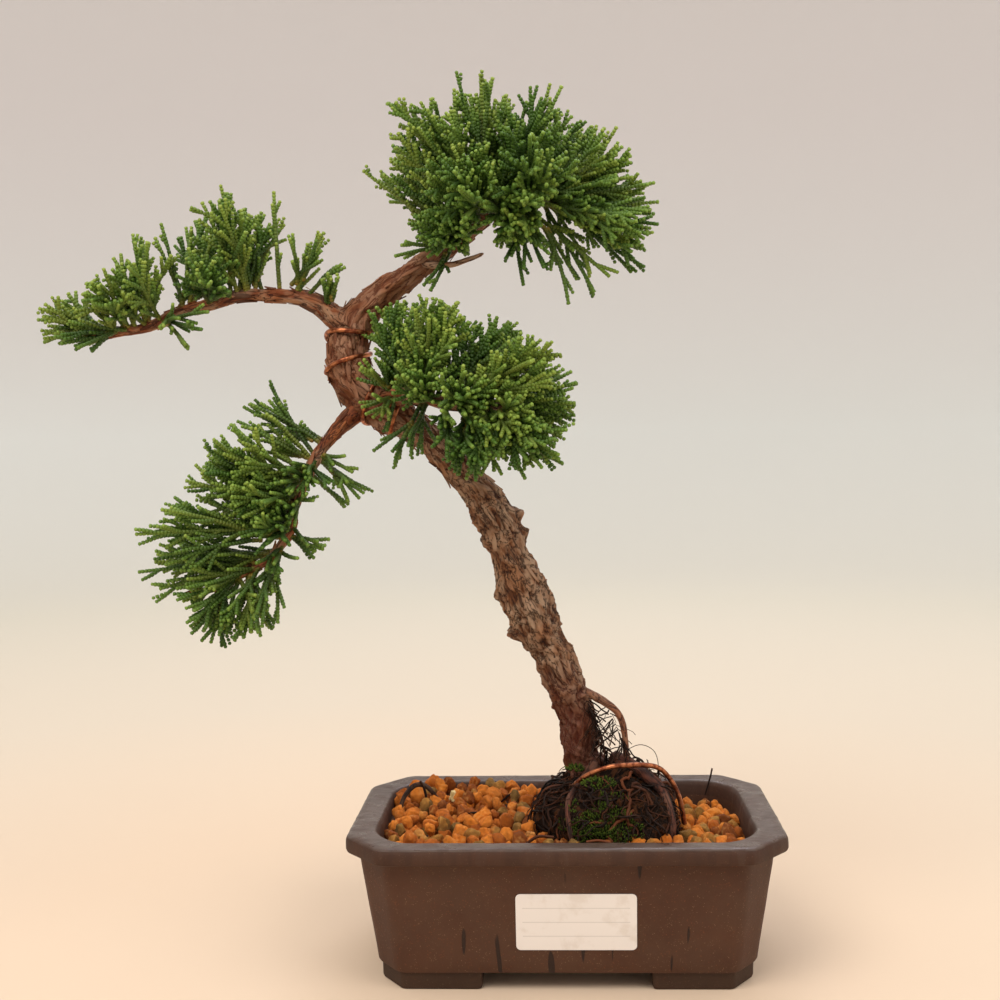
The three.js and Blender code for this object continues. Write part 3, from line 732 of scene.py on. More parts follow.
def strand_grower() -> Grower:
    """Round strands that follow polylines; "thickness" and "tone" are stored on them."""
    g = Grower("strands", {"Sides": ("Int", 5), "Material": ("Material", None)})
    curve = g.node("GeometryNodeMeshToCurve", {"Mesh": g["Geometry"]}).outputs[0]
    along = g.node("GeometryNodeSplineParameter", {}).outputs["Factor"]
    curve = g.store(curve, "along", along)
    ring = g.node("GeometryNodeCurvePrimitiveCircle", {"Resolution": g["Sides"], "Radius": 1.0})
    section = g.store(ring.outputs[0], "turn", along)
    radii = {"Curve": curve, "Radius": g.named("thickness")}
    curve = g.node("GeometryNodeSetCurveRadius", radii).outputs[0]
    sweep = g.node("GeometryNodeCurveToMesh", {
        "Curve": curve, "Profile Curve": section, "Scale": g.named("thickness"), "Fill Caps": True,
    })
    across = g.maths("MULTIPLY_ADD", g.named("turn"), 0.03, g.named("tone"))
    up = g.maths("MULTIPLY_ADD", g.named("along"), 0.96, 0.02)
    g.finish(g.chart(sweep.outputs[0], across, up), g["Material"])
    return g


def scale_leaf_grower() -> Grower:
    """Pairs of scale leaves set along shoots, each pair turned across the last."""
    g = Grower("scale_leaves", {
        "Scale pair": ("Object", None), "Pitch": ("Float", 1.2 * MM), "Seed": ("Int", 1),
        "Material": ("Material", None),
    })
    curve = g.node("GeometryNodeMeshToCurve", {"Mesh": g["Geometry"]}).outputs[0]
    spaced = g.node("GeometryNodeCurveToPoints", {"Curve": curve, "Length": g["Pitch"]}, mode="LENGTH")
    order = g.node("GeometryNodeInputIndex", {}).outputs[0]
    turn = g.maths("MULTIPLY", g.maths("MODULO", order, 2.0), math.pi / 2)
    turn = g.maths("ADD", turn, g.random("FLOAT", -0.3, 0.3, g["Seed"]))
    set_out = g.node("GeometryNodeInstanceOnPoints", {
        "Points": spaced.outputs["Points"],
        "Instance": g.node("GeometryNodeObjectInfo", {"Object": g["Scale pair"]}).outputs["Geometry"],
        "Rotation": g.spin(g.aim("Z", {"Vector": spaced.outputs["Tangent"]}), turn),
        "Scale": g.named("girth"),
    }).outputs[0]
    across = g.maths("MULTIPLY_ADD", g.named("turn"), 0.06, g.named("shade"))
    up = g.maths("MULTIPLY_ADD", g.named("ring"), 0.05, g.named("age"))
    g.finish(g.chart(g.real(set_out), across, up), g["Material"])
    return g


def scatter_grower() -> Grower:
    """Small shapes scattered over a surface, none closer than a distance."""
    g = Grower("scatter", {
        "Shapes": ("Collection", None), "Spacing": ("Float", 4.0 * MM), "Density": ("Float", 90000.0),
        "Smallest": ("Float", 0.75), "Largest": ("Float", 1.25), "Lift": ("Float", 0.0),
        "Seed": ("Int", 1), "Material": ("Material", None),
    })
    lift = g.random("FLOAT", g.maths("MULTIPLY", g["Lift"], -1.0), g["Lift"], g["Seed"])
    moved = {"Geometry": g.sow({}).outputs["Points"],
             "Offset": g.node("ShaderNodeCombineXYZ", {"Z": lift}).outputs[0]}
    points = g.node("GeometryNodeSetPosition", moved).outputs[0]
    tumble = g.random("FLOAT_VECTOR", (-math.pi,) * 3, (math.pi,) * 3, g["Seed"])
    turned = g.node("FunctionNodeEulerToRotation", {0: tumble}).outputs[0]
    size = g.random("FLOAT", g["Smallest"], g["Largest"], g.maths("ADD", g["Seed"], 7.0))
    placed = g.stand(points, g["Shapes"], turned, size)
    tone = g.random("FLOAT", 0.02, 0.95, g.maths("ADD", g["Seed"], 3.0))
    toned = g.real(g.store(placed, "tone", tone, "FLOAT", "INSTANCE"))
    across = g.maths("MULTIPLY_ADD", g.named("turn"), 0.03, g.named("tone"))
    g.finish(g.chart(toned, across, g.named("ring")), g["Material"])
    return g


# ---- mesh helpers -------------------------------------------------------------------


def mesh_of(name: str, points: Sequence[Point], faces: Sequence[Sequence[int]],
            edges: Sequence[Sequence[int]] = (), origin: Point = ORIGIN) -> Mesh:
    """A mesh from points in millimetres.

    Args:
        name: The mesh's name.
        points: Places from the origin.
        faces: Corner numbers of each face.
        edges: End numbers of each loose edge.
        origin: Where the places are measured from, in metres; the pot's centre if not given.

    Returns:
        The mesh, in metres.
    """
    mesh = bpy.data.meshes.new(name)
    mesh.from_pydata((np.asarray(points, float) * MM + np.array(origin)).tolist(), edges, faces)
    mesh.update()
    return mesh


def put(mesh: Mesh, *materials: Material) -> bpy.types.Object:
    """Links a mesh to the scene as an object at the origin, with its materials."""
    piece = bpy.data.objects.new(mesh.name, mesh)
    bpy.context.scene.collection.objects.link(piece)
    if materials:
        mesh.materials.clear()
        for material in materials:
            mesh.materials.append(material)
    return piece


def hand_over(piece: bpy.types.Object, slot: str, *nodes: str) -> None:
    """Fixes a piece to the pot's body, and hides the CAD nodes that it stands for."""
    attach(piece, BODY)
    if nodes:
        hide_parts(*nodes)
    piece.data.calc_loop_triangles()
    log.info("%s: %d triangles", piece.name, len(piece.data.loop_triangles))


def store(mesh: Mesh, name: str, values: Sequence) -> None:
    """Stores a number or a vector on each of a mesh's points."""
    rows = np.array(values, np.float32)
    kind, key = ("FLOAT", "value") if rows.ndim == 1 else ("FLOAT_VECTOR", "vector")
    mesh.attributes.new(name, kind, "POINT").data.foreach_set(key, rows.ravel())


def angles(count: int) -> list[float]:
    """Even turns round a circle."""
    return [2 * math.pi * i / count for i in range(count)]


def band(rows: int, sides: int, start: int = 0) -> list[list[int]]:
    """Four-cornered faces between rings of points, numbered ring by ring from a start."""
    faces = []
    for r in range(rows - 1):
        for k in range(sides):
            a = start + r * sides + k
            b = start + r * sides + (k + 1) % sides
            faces.append([a, b, b + sides, a + sides])
    return faces


def disc(rings: int, sides: int) -> list[list[int]]:
    """Faces of a disc that looks up: point 0 in its middle, then rings of points."""
    fan = [[0, 1 + k, 1 + (k + 1) % sides] for k in range(sides)]
    return fan + [[a, d, c, b] for a, b, c, d in band(rings, sides, 1)]


def loft(rings: Sequence[Sequence[Point]]) -> tuple[list[Point], list[list[int]]]:
    """A closed skin over rings of points, from the first ring's cap to the last's."""
    sides = len(rings[0])
    last = (len(rings) - 1) * sides
    caps = [[sides - 1 - k for k in range(sides)], [last + k for k in range(sides)]]
    return [p for ring in rings for p in ring], band(len(rings), sides) + caps


def bend(start: Vector, middle: Vector, end: Vector, t: float) -> Vector:
    """A place on the curve from start to end that leans towards middle."""
    return start.lerp(middle, t).lerp(middle.lerp(end, t), t)


def rounded(corners: Sequence[Point], i: int, reach: float, steps: int) -> list[Vector]:
    """Points round one corner of an outline, which is cut off a reach to each side."""
    here = Vector(corners[i])
    start = here + unit(Vector(corners[i - 1]) - here) * reach
    end = here + unit(Vector(corners[(i + 1) % len(corners)]) - here) * reach
    return [bend(start, here, end, k / steps) for k in range(steps + 1)]


def toss(pick: random.Random, x: float = 1, y: float = 1, z: float = 1) -> Vector:
    """A random vector about zero, with a spread along each axis."""
    return Vector((pick.gauss(0, x), pick.gauss(0, y), pick.gauss(0, z)))


@dataclass
class Polylines:
    """Strands as one mesh of edges, with numbers on their points."""

    points: list[Point] = field(default_factory=list)
    edges: list[tuple[int, int]] = field(default_factory=list)
    numbers: dict[str, list[float]] = field(default_factory=dict)

    def add(self, line: Sequence[Point], **numbers: Union[float, Sequence[float]]) -> None:
        """Adds one strand; each number is one value, or one for each point."""
        start = len(self.points)
        self.points.extend(tuple(p) for p in line)
        self.edges.extend((start + i, start + i + 1) for i in range(len(line) - 1))
        for key, value in numbers.items():
            row = [value] * len(line) if isinstance(value, (int, float)) else list(value)
            self.numbers.setdefault(key, []).extend(row)

    def mesh(self, name: str) -> Mesh:
        """The strands as a mesh of edges."""
        mesh = mesh_of(name, self.points, [], self.edges)
        for key, row in self.numbers.items():
            store(mesh, key, row)
        return mesh


def through(stops: Sequence[Point], step: float) -> list[Vector]:
    """A smooth curve through stops.

    Args:
        stops: Places, and any numbers after them, that the curve passes.
        step: The distance between the curve's points.

    Returns:
        Points a step apart, with the stops' further numbers carried along as floats.
    """
    rows = np.array(stops, float)
    padded = np.vstack([2 * rows[0] - rows[1], rows, 2 * rows[-1] - rows[-2]])
    fine = []
    for i in range(1, len(padded) - 2):
        a, b, c, d = padded[i - 1 : i + 3]
        for t in np.linspace(0, 1, 24, endpoint=False):
            fine.append(
                0.5 * (2 * b + (c - a) * t + (2 * a - 5 * b + 4 * c - d) * t**2
                       + (3 * b - a - 3 * c + d) * t**3)
            )
    fine.append(padded[-2])
    track = np.array(fine)
    reach = np.concatenate([[0], np.cumsum(np.linalg.norm(np.diff(track[:, :3], axis=0), axis=1))])
    count = max(3, int(round(reach[-1] / step)) + 1)
    even = np.linspace(0, reach[-1], count)
    return [Vector([np.interp(s, reach, track[:, k]) for k in range(rows.shape[1])]) for s in even]


def carried_frames(line: Sequence[Vector]) -> list[tuple[Vector, Vector, Vector]]:
    """A tangent and two cross directions at each point of a line, carried without twist."""
    frames = []
    side = None
    for i, p in enumerate(line):
        ahead = line[min(i + 1, len(line) - 1)]
        behind = line[max(i - 1, 0)]
        tangent = unit(Vector(ahead[:3]) - Vector(behind[:3]))
        if side is None:
            side = unit(Vector((0, 1, 0)).cross(tangent))
        side = unit(side - tangent * side.dot(tangent))
        frames.append((tangent, side, tangent.cross(side)))
    return frames


# ---- woody limbs --------------------------------------------------------------------


@dataclass(frozen=True)
class Knob:
    """A swelling left by an old branch."""

    at: Point
    height: float
    width: float


@dataclass
class Limb:
    """A trunk, branch or root: a swept column with bark relief.

    Its surface carries "grain", a vector that runs along the limb slowly and round it
    fast, and "relief", how far the bark stands out, from 0 to 1.
    """

    name: str
    stops: Sequence[Point]
    sides: int = 28
    step: float = 1.0
    ridge: float = 0.12
    plate: float = 0.1
    lumps: float = 0.1
    stretch: float = 0.2
    twist: float = 0.012
    knobs: Sequence[Knob] = ()
    tip: float = 0.35
    seed: float = 0.0
    peel: Callable[[Vector], float] = lambda p: 1.0

    def bark(self, spot: Vector) -> float:
        """Relief of the bark at a place in grain space, about -1 to 1."""
        split = 1 - 2 * abs(noise.noise(spot * 0.5))
        strand = noise.noise(spot * 1.5 + Vector((7, 3, 1)))
        ledge = smooth(-0.05, 0.05, noise.noise(spot * 0.36 + Vector((3, 9, 5)))) - 0.5
        flake = smooth(0.0, 0.06, noise.noise(spot * 0.8 + Vector((1, 4, 8)))) - 0.5
        crumb = noise.noise(spot * 2.7 + Vector((5, 2, 6)))
        return self.ridge * (0.6 * split + 0.45 * strand + 0.3 * crumb) + self.plate * (ledge + 0.55 * flake)

    def mesh(self) -> Mesh:
        """The limb's mesh, closed at both ends."""
        line = through(self.stops, self.step)
        frames = carried_frames(line)
        points, grain, relief, runs, peel = [], [], [], [], []
        last = len(line) - 1
        for i, (p, (tangent, side, front)) in enumerate(zip(line, frames)):
            centre, radius, run = Vector(p[:3]), p[3], i * self.step
            taper = 1.0 - (1.0 - self.tip) * smooth(last - 1.6 * radius / self.step, last, i)
            for angle in angles(self.sides):
                out = blend(side, front, angle)
                turned = angle + self.twist * run
                spot = Vector((math.cos(turned) * radius, math.sin(turned) * radius, 0))
                spot.z = run * self.stretch + self.seed
                skin = centre + out * radius
                spot += noise.noise_vector(skin * 0.13) * 1.2
                height = self.bark(spot)
                swell = noise.noise(skin * 0.11 + Vector((self.seed, 0, 0))) + 0.6 * noise.noise(skin * 0.24)
                lift = radius * (height + self.lumps * swell)
                for knob in self.knobs:
                    gap = (skin - Vector(knob.at)).length
                    lift += knob.height * math.exp(-((gap / knob.width) ** 2))
                points.append(centre + out * (radius * taper + lift * taper))
                grain.append(spot * MM)
                relief.append(0.5 + height / (2 * (self.ridge + 0.75 * self.plate)))
                runs.append(tangent)
                peel.append(self.peel(skin))
        points += [Vector(line[0][:3]), Vector(line[-1][:3]) + frames[-1][0] * line[-1][3] * self.tip]
        grain += [Vector((0, 0, 0))] * 2
        relief += [0.4, 0.4]
        runs += [frames[0][0], frames[-1][0]]
        peel += [0.0, 0.0]
        faces = band(last + 1, self.sides)
        end = last * self.sides
        for s in range(self.sides):
            after = (s + 1) % self.sides
            faces.append([after, s, len(points) - 2])
            faces.append([end + s, end + after, len(points) - 1])
        mesh = mesh_of(self.name, points, faces)
        for key, rows in (("grain", grain), ("relief", relief), ("runs", runs), ("peel", peel)):
            store(mesh, key, rows)
        mesh.shade_smooth()
        return mesh


@dataclass
class Peelings:
    """Curled strips of bark that lift off a limb."""

    length: float = 7.0
    width: float = 1.5
    curl: float = 0.9
    thickness: float = 0.16

    def strip(self, name: str, seed: int) -> Mesh:
        """One strip along X, lifted at its far end and cupped across."""
        pick = random.Random(seed)
        rows, half = 6, self.width / 2
        points, faces = [], []
        bend = self.curl * pick.uniform(0.4, 1.5)
        sway = pick.uniform(-0.8, 0.8)
        for layer in (0, 1):
            for r in range(rows + 1):
                t = r / rows
                breadth = half * (0.35 + 0.65 * math.sin(math.pi * min(1, 0.15 + t * 0.8)))
                for side in (-1, 0, 1):
                    cup = 0.25 * abs(side)
                    z = bend * t**2.2 + cup - self.thickness * layer
                    points.append((self.length * (t - 0.4), side * breadth + sway * t * t, z))
        cols = 3
        total = (rows + 1) * cols
        for r in range(rows):
            for c in range(cols - 1):
                a = r * cols + c
                faces.append([a, a + cols, a + cols + 1, a + 1])
                faces.append([total + a, total + a + 1, total + a + cols + 1, total + a + cols])
        rim = list(range(cols)) + [r * cols + cols - 1 for r in range(1, rows + 1)]
        rim += [rows * cols + c for c in range(cols - 2, -1, -1)]
        rim += [r * cols for r in range(rows - 1, 0, -1)]
        for a, b in zip(rim, rim[1:] + rim[:1]):
            faces.append([a, b, total + b, total + a])
        return mesh_of(name, points, faces, origin=(0, 0, 0))


def peeling_grower() -> Grower:
    """Bark strips laid along a limb, joined to it."""
    g = Grower("peelings", {
        "Strips": ("Collection", None), "Density": ("Float", 60000.0), "Spacing": ("Float", 1.6 * MM),
        "Seed": ("Int", 1), "Bark": ("Material", None),
    })
    sown = g.sow({"Density Factor": g.named("peel")})
    upright = g.aim("Z", {"Vector": sown.outputs["Normal"]})
    laid = g.aim("X", {"Rotation": upright, "Vector": g.named("runs", "FLOAT_VECTOR")}, "Z")
    flip = g.random("INT", 0, 1, g["Seed"])
    angle = g.maths("MULTIPLY_ADD", flip, math.pi, g.random("FLOAT", -0.28, 0.28, g["Seed"]))
    size = g.random("FLOAT_VECTOR", (0.4, 0.5, 0.4), (1.25, 1.3, 1.3), g["Seed"])
    placed = g.stand(sown.outputs["Points"], g["Strips"], g.spin(laid, angle), size)
    both = g.node("GeometryNodeJoinGeometry", {0: g["Geometry"]})
    g.set(both.inputs[0], placed)
    g.finish(both.outputs[0], g["Bark"])
    return g


def shape_box(name: str, meshes: Sequence[Mesh]) -> bpy.types.Collection:
    """A collection, kept out of the scene, of shapes for a grower to choose from."""
    box = bpy.data.collections.new(name)
    for mesh in meshes:
        box.objects.link(bpy.data.objects.new(mesh.name, mesh))
    return box


def empty_box(box: bpy.types.Collection) -> None:
    """Removes a collection of shapes once its grower has run."""
    for shape in list(box.objects):
        bpy.data.objects.remove(shape)
    bpy.data.collections.remove(box)


# ---- studio -------------------------------------------------------------------------


@dataclass
class Studio:
    """Camera, lights and a round paper sweep."""

    lens: float = 49.56
    stand: Point = (-0.47, -491.1, 186.05)
    yaw: float = -0.0432
    pitch: float = 0.0478
    roll: float = -0.0156
    floor_radius: float = 1.3
    floor_sides: int = 96
    sweep: float = 1.3
    wall_top: float = 2.6
    soft_box: float = 0.9

    def camera(self) -> None:
        """Creates the scene's camera."""
        data = bpy.data.cameras.new("camera")
        data.sensor_width = 36.0
        data.lens = self.lens
        data.clip_start = 0.01
        camera = bpy.data.objects.new("camera", data)
        ahead = Vector((
            math.sin(self.yaw) * math.cos(self.pitch),
            math.cos(self.yaw) * math.cos(self.pitch),
            -math.sin(self.pitch),
        ))
        right = Vector((math.cos(self.yaw), -math.sin(self.yaw), 0))
        up = right.cross(ahead)
        across = blend(right, up, self.roll)
        rise = blend(up, -right, self.roll)
        pose = Matrix((across, rise, -ahead)).transposed().to_4x4()
        pose.translation = ORIGIN + Vector(self.stand) * MM
        camera.matrix_world = pose
        bpy.context.scene.collection.objects.link(camera)
        bpy.context.scene.camera = camera

    def light(self, name: str, at: Point, height: float, power: float, colour: str) -> None:
        """Adds one soft box that faces a height over the frame's origin."""
        data = bpy.data.lights.new(name, "AREA")
        data.shape = "DISK"
        data.size = self.soft_box
        data.energy = power
        data.color = tint(colour)[:3]
        lamp = bpy.data.objects.new(name, data)
        lamp.location = at
        lamp.rotation_euler = (Vector((0, 0, height)) - Vector(at)).to_track_quat("-Z", "Y").to_euler()
        bpy.context.scene.collection.objects.link(lamp)

    def floor(self) -> None:
        """A flat disc that curves up into a wall all round."""
        profile = [(self.floor_radius * t, 0.0) for t in (0.15, 0.4, 0.7, 1.0)]
        for i in range(1, 17):
            a = math.pi / 2 * i / 16
            rise = self.sweep * (1 - math.cos(a))
            profile.append((self.floor_radius + self.sweep * math.sin(a), rise))
        profile.append((self.floor_radius + self.sweep, self.wall_top))
        points: list[Point] = [(0.0, 0.0, 0.0)]
        for reach, rise in profile:
            points += [(reach * math.cos(a), reach * math.sin(a), rise) for a in angles(self.floor_sides)]
        mesh = bpy.data.meshes.new("studio_floor")
        mesh.from_pydata(points, [], disc(len(profile), self.floor_sides))
        mesh.shade_smooth()
        put(mesh, StudioFloor().material())

    def build(self) -> None:
        """Sets up the camera, the floor and the lights."""
        self.camera()
        self.floor()
        world = bpy.data.worlds.new("studio")
        world.use_nodes = True
        sky = world.node_tree.nodes["Background"]
        sky.inputs["Color"].default_value = tint("fbf8f6")
        sky.inputs["Strength"].default_value = 1.02
        bpy.context.scene.world = world
        bpy.context.scene.view_settings.view_transform = "Standard"
        self.light("key", (-0.55, -0.75, 1.25), 0.12, 10.5, "fff6ec")
        self.light("fill", (0.9, -0.6, 0.9), 0.15, 4.5, "fff8f2")
        self.light("back", (0.2, 0.9, 1.2), 0.2, 5.0, "f4f4ff")
        log.info("studio ready")


# ---- pot ----------------------------------------------------------------------------


@dataclass
class Pot:
    """The tray: a wide rolled lip with cut corners, leaning walls and four feet."""

    cut_x: float = 13.2
    cut_y: float = 16.5
    fillet: float = 3.2
    lip_height: float = 5.7
    overhang: float = 4.4
    rim_width: float = 10.5
    wall_taper: float = 5.6
    inner_taper: float = 2.5
    foot_height: float = 6.0
    foot_inset: float = 1.6
    foot_x: float = 28.5
    foot_y: float = 16.0
    floor: float = 3.5
    drain_radius: float = 8.0
    drain_x: float = 30.0
    wire_hole_radius: float = 1.5
    wire_hole_x: float = 10.0
    along_edge: float = 2.2
    corner_steps: int = 6
    foot_fillet: float = 1.3
    bore_sides: int = 40

    def __post_init__(self) -> None:
        """Takes the outer sizes from the CAD node."""
        low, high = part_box("pot")
        self.half_x = (high.x - low.x) / 2 / MM
        self.half_y = (high.y - low.y) / 2 / MM
        self.height = (high.z - low.z) / MM

    def cuts(self, inset: float) -> tuple[float, float]:
        """How far the corners are cut off along X and Y, an inset in."""
        return self.cut_x - inset * 0.45, self.cut_y - inset * 0.45

    def ring(self, inset: float, z: float, fillet: float = 0.0) -> list[Point]:
        """Points round the pot, an inset in from the lip's face."""
        x, y = self.half_x - inset, self.half_y - inset
        cx, cy = self.cuts(inset)
        corners = [(x - cx, -y), (x, -y + cy), (x, y - cy), (x - cx, y),
                   (-x + cx, y), (-x, y - cy), (-x, -y + cy), (-x + cx, -y)]
        arcs = [rounded(corners, i, fillet or self.fillet, self.corner_steps) for i in range(8)]
        lengths = (2 * (self.half_x - self.cut_x), 20.0, 2 * (self.half_y - self.cut_y), 20.0)
        ring: list[Point] = []
        for i, arc in enumerate(arcs):
            goal = arcs[(i + 1) % 8][0]
            steps = max(2, int(lengths[(i + 3) % 4] / self.along_edge))
            ring += [(p.x, p.y, z) for p in arc + [arc[-1].lerp(goal, k / steps) for k in range(1, steps)]]
        return ring

    def profile(self) -> list[tuple[float, float, float]]:
        """The section from the underside, over the lip, to the inner floor."""
        top, foot = self.height, self.foot_height
        under = top - self.lip_height
        base = self.overhang + self.wall_taper
        rows = [(base + 1.2, foot, 0.0), (base + 0.35, foot + 0.25, 0.0), (base, foot + 0.9, 0.0)]
        for t in (0.12, 0.3, 0.5, 0.7, 0.88):
            rows.append((lerp(base, self.overhang, t), lerp(foot + 0.9, under - 1.2, t), 0.0))
        rows += [
            (self.overhang + 0.05, under - 1.1, 0.0), (self.overhang - 0.3, under - 0.45, 0.0),
            (self.overhang - 1.1, under - 0.08, 0.0), (1.0, under, 0.0), (0.3, under + 0.35, 0.0),
            (0.0, under + 1.1, 0.0), (0.0, under + 2.6, 0.0), (0.1, top - 1.7, 0.0),
            (0.45, top - 0.75, 0.0), (1.1, top - 0.2, 0.0), (2.2, top, 0.0),
        ]
        soft = 2 * self.fillet
        for inset in (3.6, 5.0, 6.4, 7.8):
            rows.append((inset, top - 0.05 - 0.1 * (inset > 6), lerp(self.fillet, soft, inset / 8)))
        rows += [
            (9.0, top - 0.35, soft), (9.9, top - 0.95, soft), (self.rim_width, top - 2.0, soft),
            (self.rim_width + 0.5, top - 7.0, soft), (self.rim_width + 1.2, top - 18.0, soft),
            (self.rim_width + self.inner_taper, foot + self.floor, soft),
        ]
        return rows

    def tub(self) -> Mesh:
        """The body of the pot, without feet or holes."""
        points, faces = loft([self.ring(inset, z, fillet) for inset, z, fillet in self.profile()])
        worked = []
        for p in points:
            v = Vector(p)
            fall, share = (-0.6, 1.0) if v.z > self.height - 6 else (0.0, 0.5)
            inward = Vector((-v.x / self.half_x, -v.y / self.half_y, fall)) * share
            ripple = 0.5 + 0.5 * noise.noise(v * 0.16)
            worked.append(tuple(v + inward * 0.32 * ripple) if v.z > self.foot_height + 5 else tuple(v))
        return mesh_of("tub", worked, faces)

    def foot(self, side_x: int, side_y: int) -> Mesh:
        """One corner foot, rounded at its edges."""
        inset = self.overhang + self.wall_taper + self.foot_inset
        x, y = self.half_x - inset, self.half_y - inset
        cx, cy = self.cuts(inset)
        corners = [(self.foot_x, self.foot_y), (x, self.foot_y), (x, y - cy), (x - cx, y), (self.foot_x, y)]
        middle = Vector((sum(c[0] for c in corners) / 5, sum(c[1] for c in corners) / 5))
        outline = [p for i in range(5) for p in rounded(corners, i, self.foot_fillet, 4)]
        rings = []
        for shrink, z in ((0.9, 0.0), (0.3, 0.25), (0.0, 0.9), (-0.2, self.foot_height + 1.5)):
            inner = [p + unit(middle - p) * shrink for p in outline]
            ring = [(p.x * side_x, p.y * side_y, z) for p in inner]
            rings.append(ring[::-1] if side_x * side_y < 0 else ring)
        return mesh_of("foot", *loft(rings))

    def drill(self, x: float, radius: float) -> Mesh:
        """A round bar that cuts one hole in the floor."""
        low, high = self.foot_height - 3, self.foot_height + self.floor + 3
        round_bar = [(x + radius * math.cos(a), radius * math.sin(a)) for a in angles(self.bore_sides)]
        return mesh_of("drill", *loft([[(*p, z) for p in round_bar] for z in (low, high)]))

    def build(self) -> None:
        """Makes the pot and dresses the label and the drainage netting."""
        piece = put(self.tub())
        tools = [(self.foot(side_x, side_y), "UNION") for side_x in (-1, 1) for side_y in (-1, 1)]
        for x, radius in ((self.drain_x, self.drain_radius), (self.wire_hole_x, self.wire_hole_radius)):
            tools += [(self.drill(x, radius), "DIFFERENCE"), (self.drill(-x, radius), "DIFFERENCE")]
        helpers = []
        for mesh, operation in tools:
            helper = put(mesh)
            cut = piece.modifiers.new(operation.lower(), "BOOLEAN")
            cut.operation = operation
            cut.object = helper
            cut.solver = "EXACT"
            helpers.append(helper)
        graph = bpy.context.evaluated_depsgraph_get()
        mesh = bpy.data.meshes.new_from_object(piece.evaluated_get(graph))
        for helper in helpers + [piece]:
            bpy.data.objects.remove(helper)
        mesh.name = "pot_body"
        mesh.shade_smooth()
        mesh.set_sharp_from_angle(angle=math.radians(38))
        hand_over(put(mesh, PotPlastic().material()), "pot_plastic", "pot")
        for node, finish in (("label", LabelPaper()), ("drainage_mesh_left", MeshPlastic()),
                             ("drainage_mesh_right", MeshPlastic())):
            slots = frame["nodes"][node].data.materials
            slots.clear()
            slots.append(finish.material())
            log.info("%s: dressed", node)


# ---- soil ---------------------------------------------------------------------------


def pebble(name: str, seed: int, radius: float, detail: int = 3, corner: float = 0.12) -> Mesh:
    """A rounded, angular pebble about the origin, in metres, with "turn" and "ring"."""
    shape = bmesh.new()
    bmesh.ops.create_icosphere(shape, subdivisions=detail, radius=1.0)
    pick = random.Random(seed)
    cuts = [(unit(toss(pick)), pick.uniform(0.58, 0.86)) for _ in range(11)]
    stretch = Vector((pick.uniform(0.95, 1.25), pick.uniform(0.85, 1.05), pick.uniform(0.75, 0.95)))
    for vertex in shape.verts:
        p = vertex.co.copy()
        for way, depth in cuts:
            over = p.dot(way) - depth
            if over > 0:
                p -= way * over * (1 - corner)
        p *= 1 + 0.2 * noise.noise(p * 1.9 + Vector((seed, 0, 0))) + 0.09 * noise.noise(p * 5.0)
        vertex.co = Vector(a * b for a, b in zip(p, stretch)) * radius * MM
    mesh = bpy.data.meshes.new(name)
    shape.to_mesh(mesh)
    shape.free()
    count = len(mesh.vertices)
    places = np.empty(count * 3)
    mesh.vertices.foreach_get("co", places)
    places = places.reshape(-1, 3) / (radius * MM)
    pits = np.array([noise.noise(Vector(p) * 3.1 + Vector((0, seed, 0))) for p in places])
    store(mesh, "turn", np.arctan2(places[:, 1], places[:, 0]) / math.pi)
    # "ring" carries the clay's painted light and shade: higher on the pebble's upper side, lower on its
    # under side and in noise patches.
    store(mesh, "ring", np.clip(0.52 + 0.22 * places[:, 2] + 0.5 * pits, 0.03, 0.97))
    mesh.shade_smooth()
    return mesh


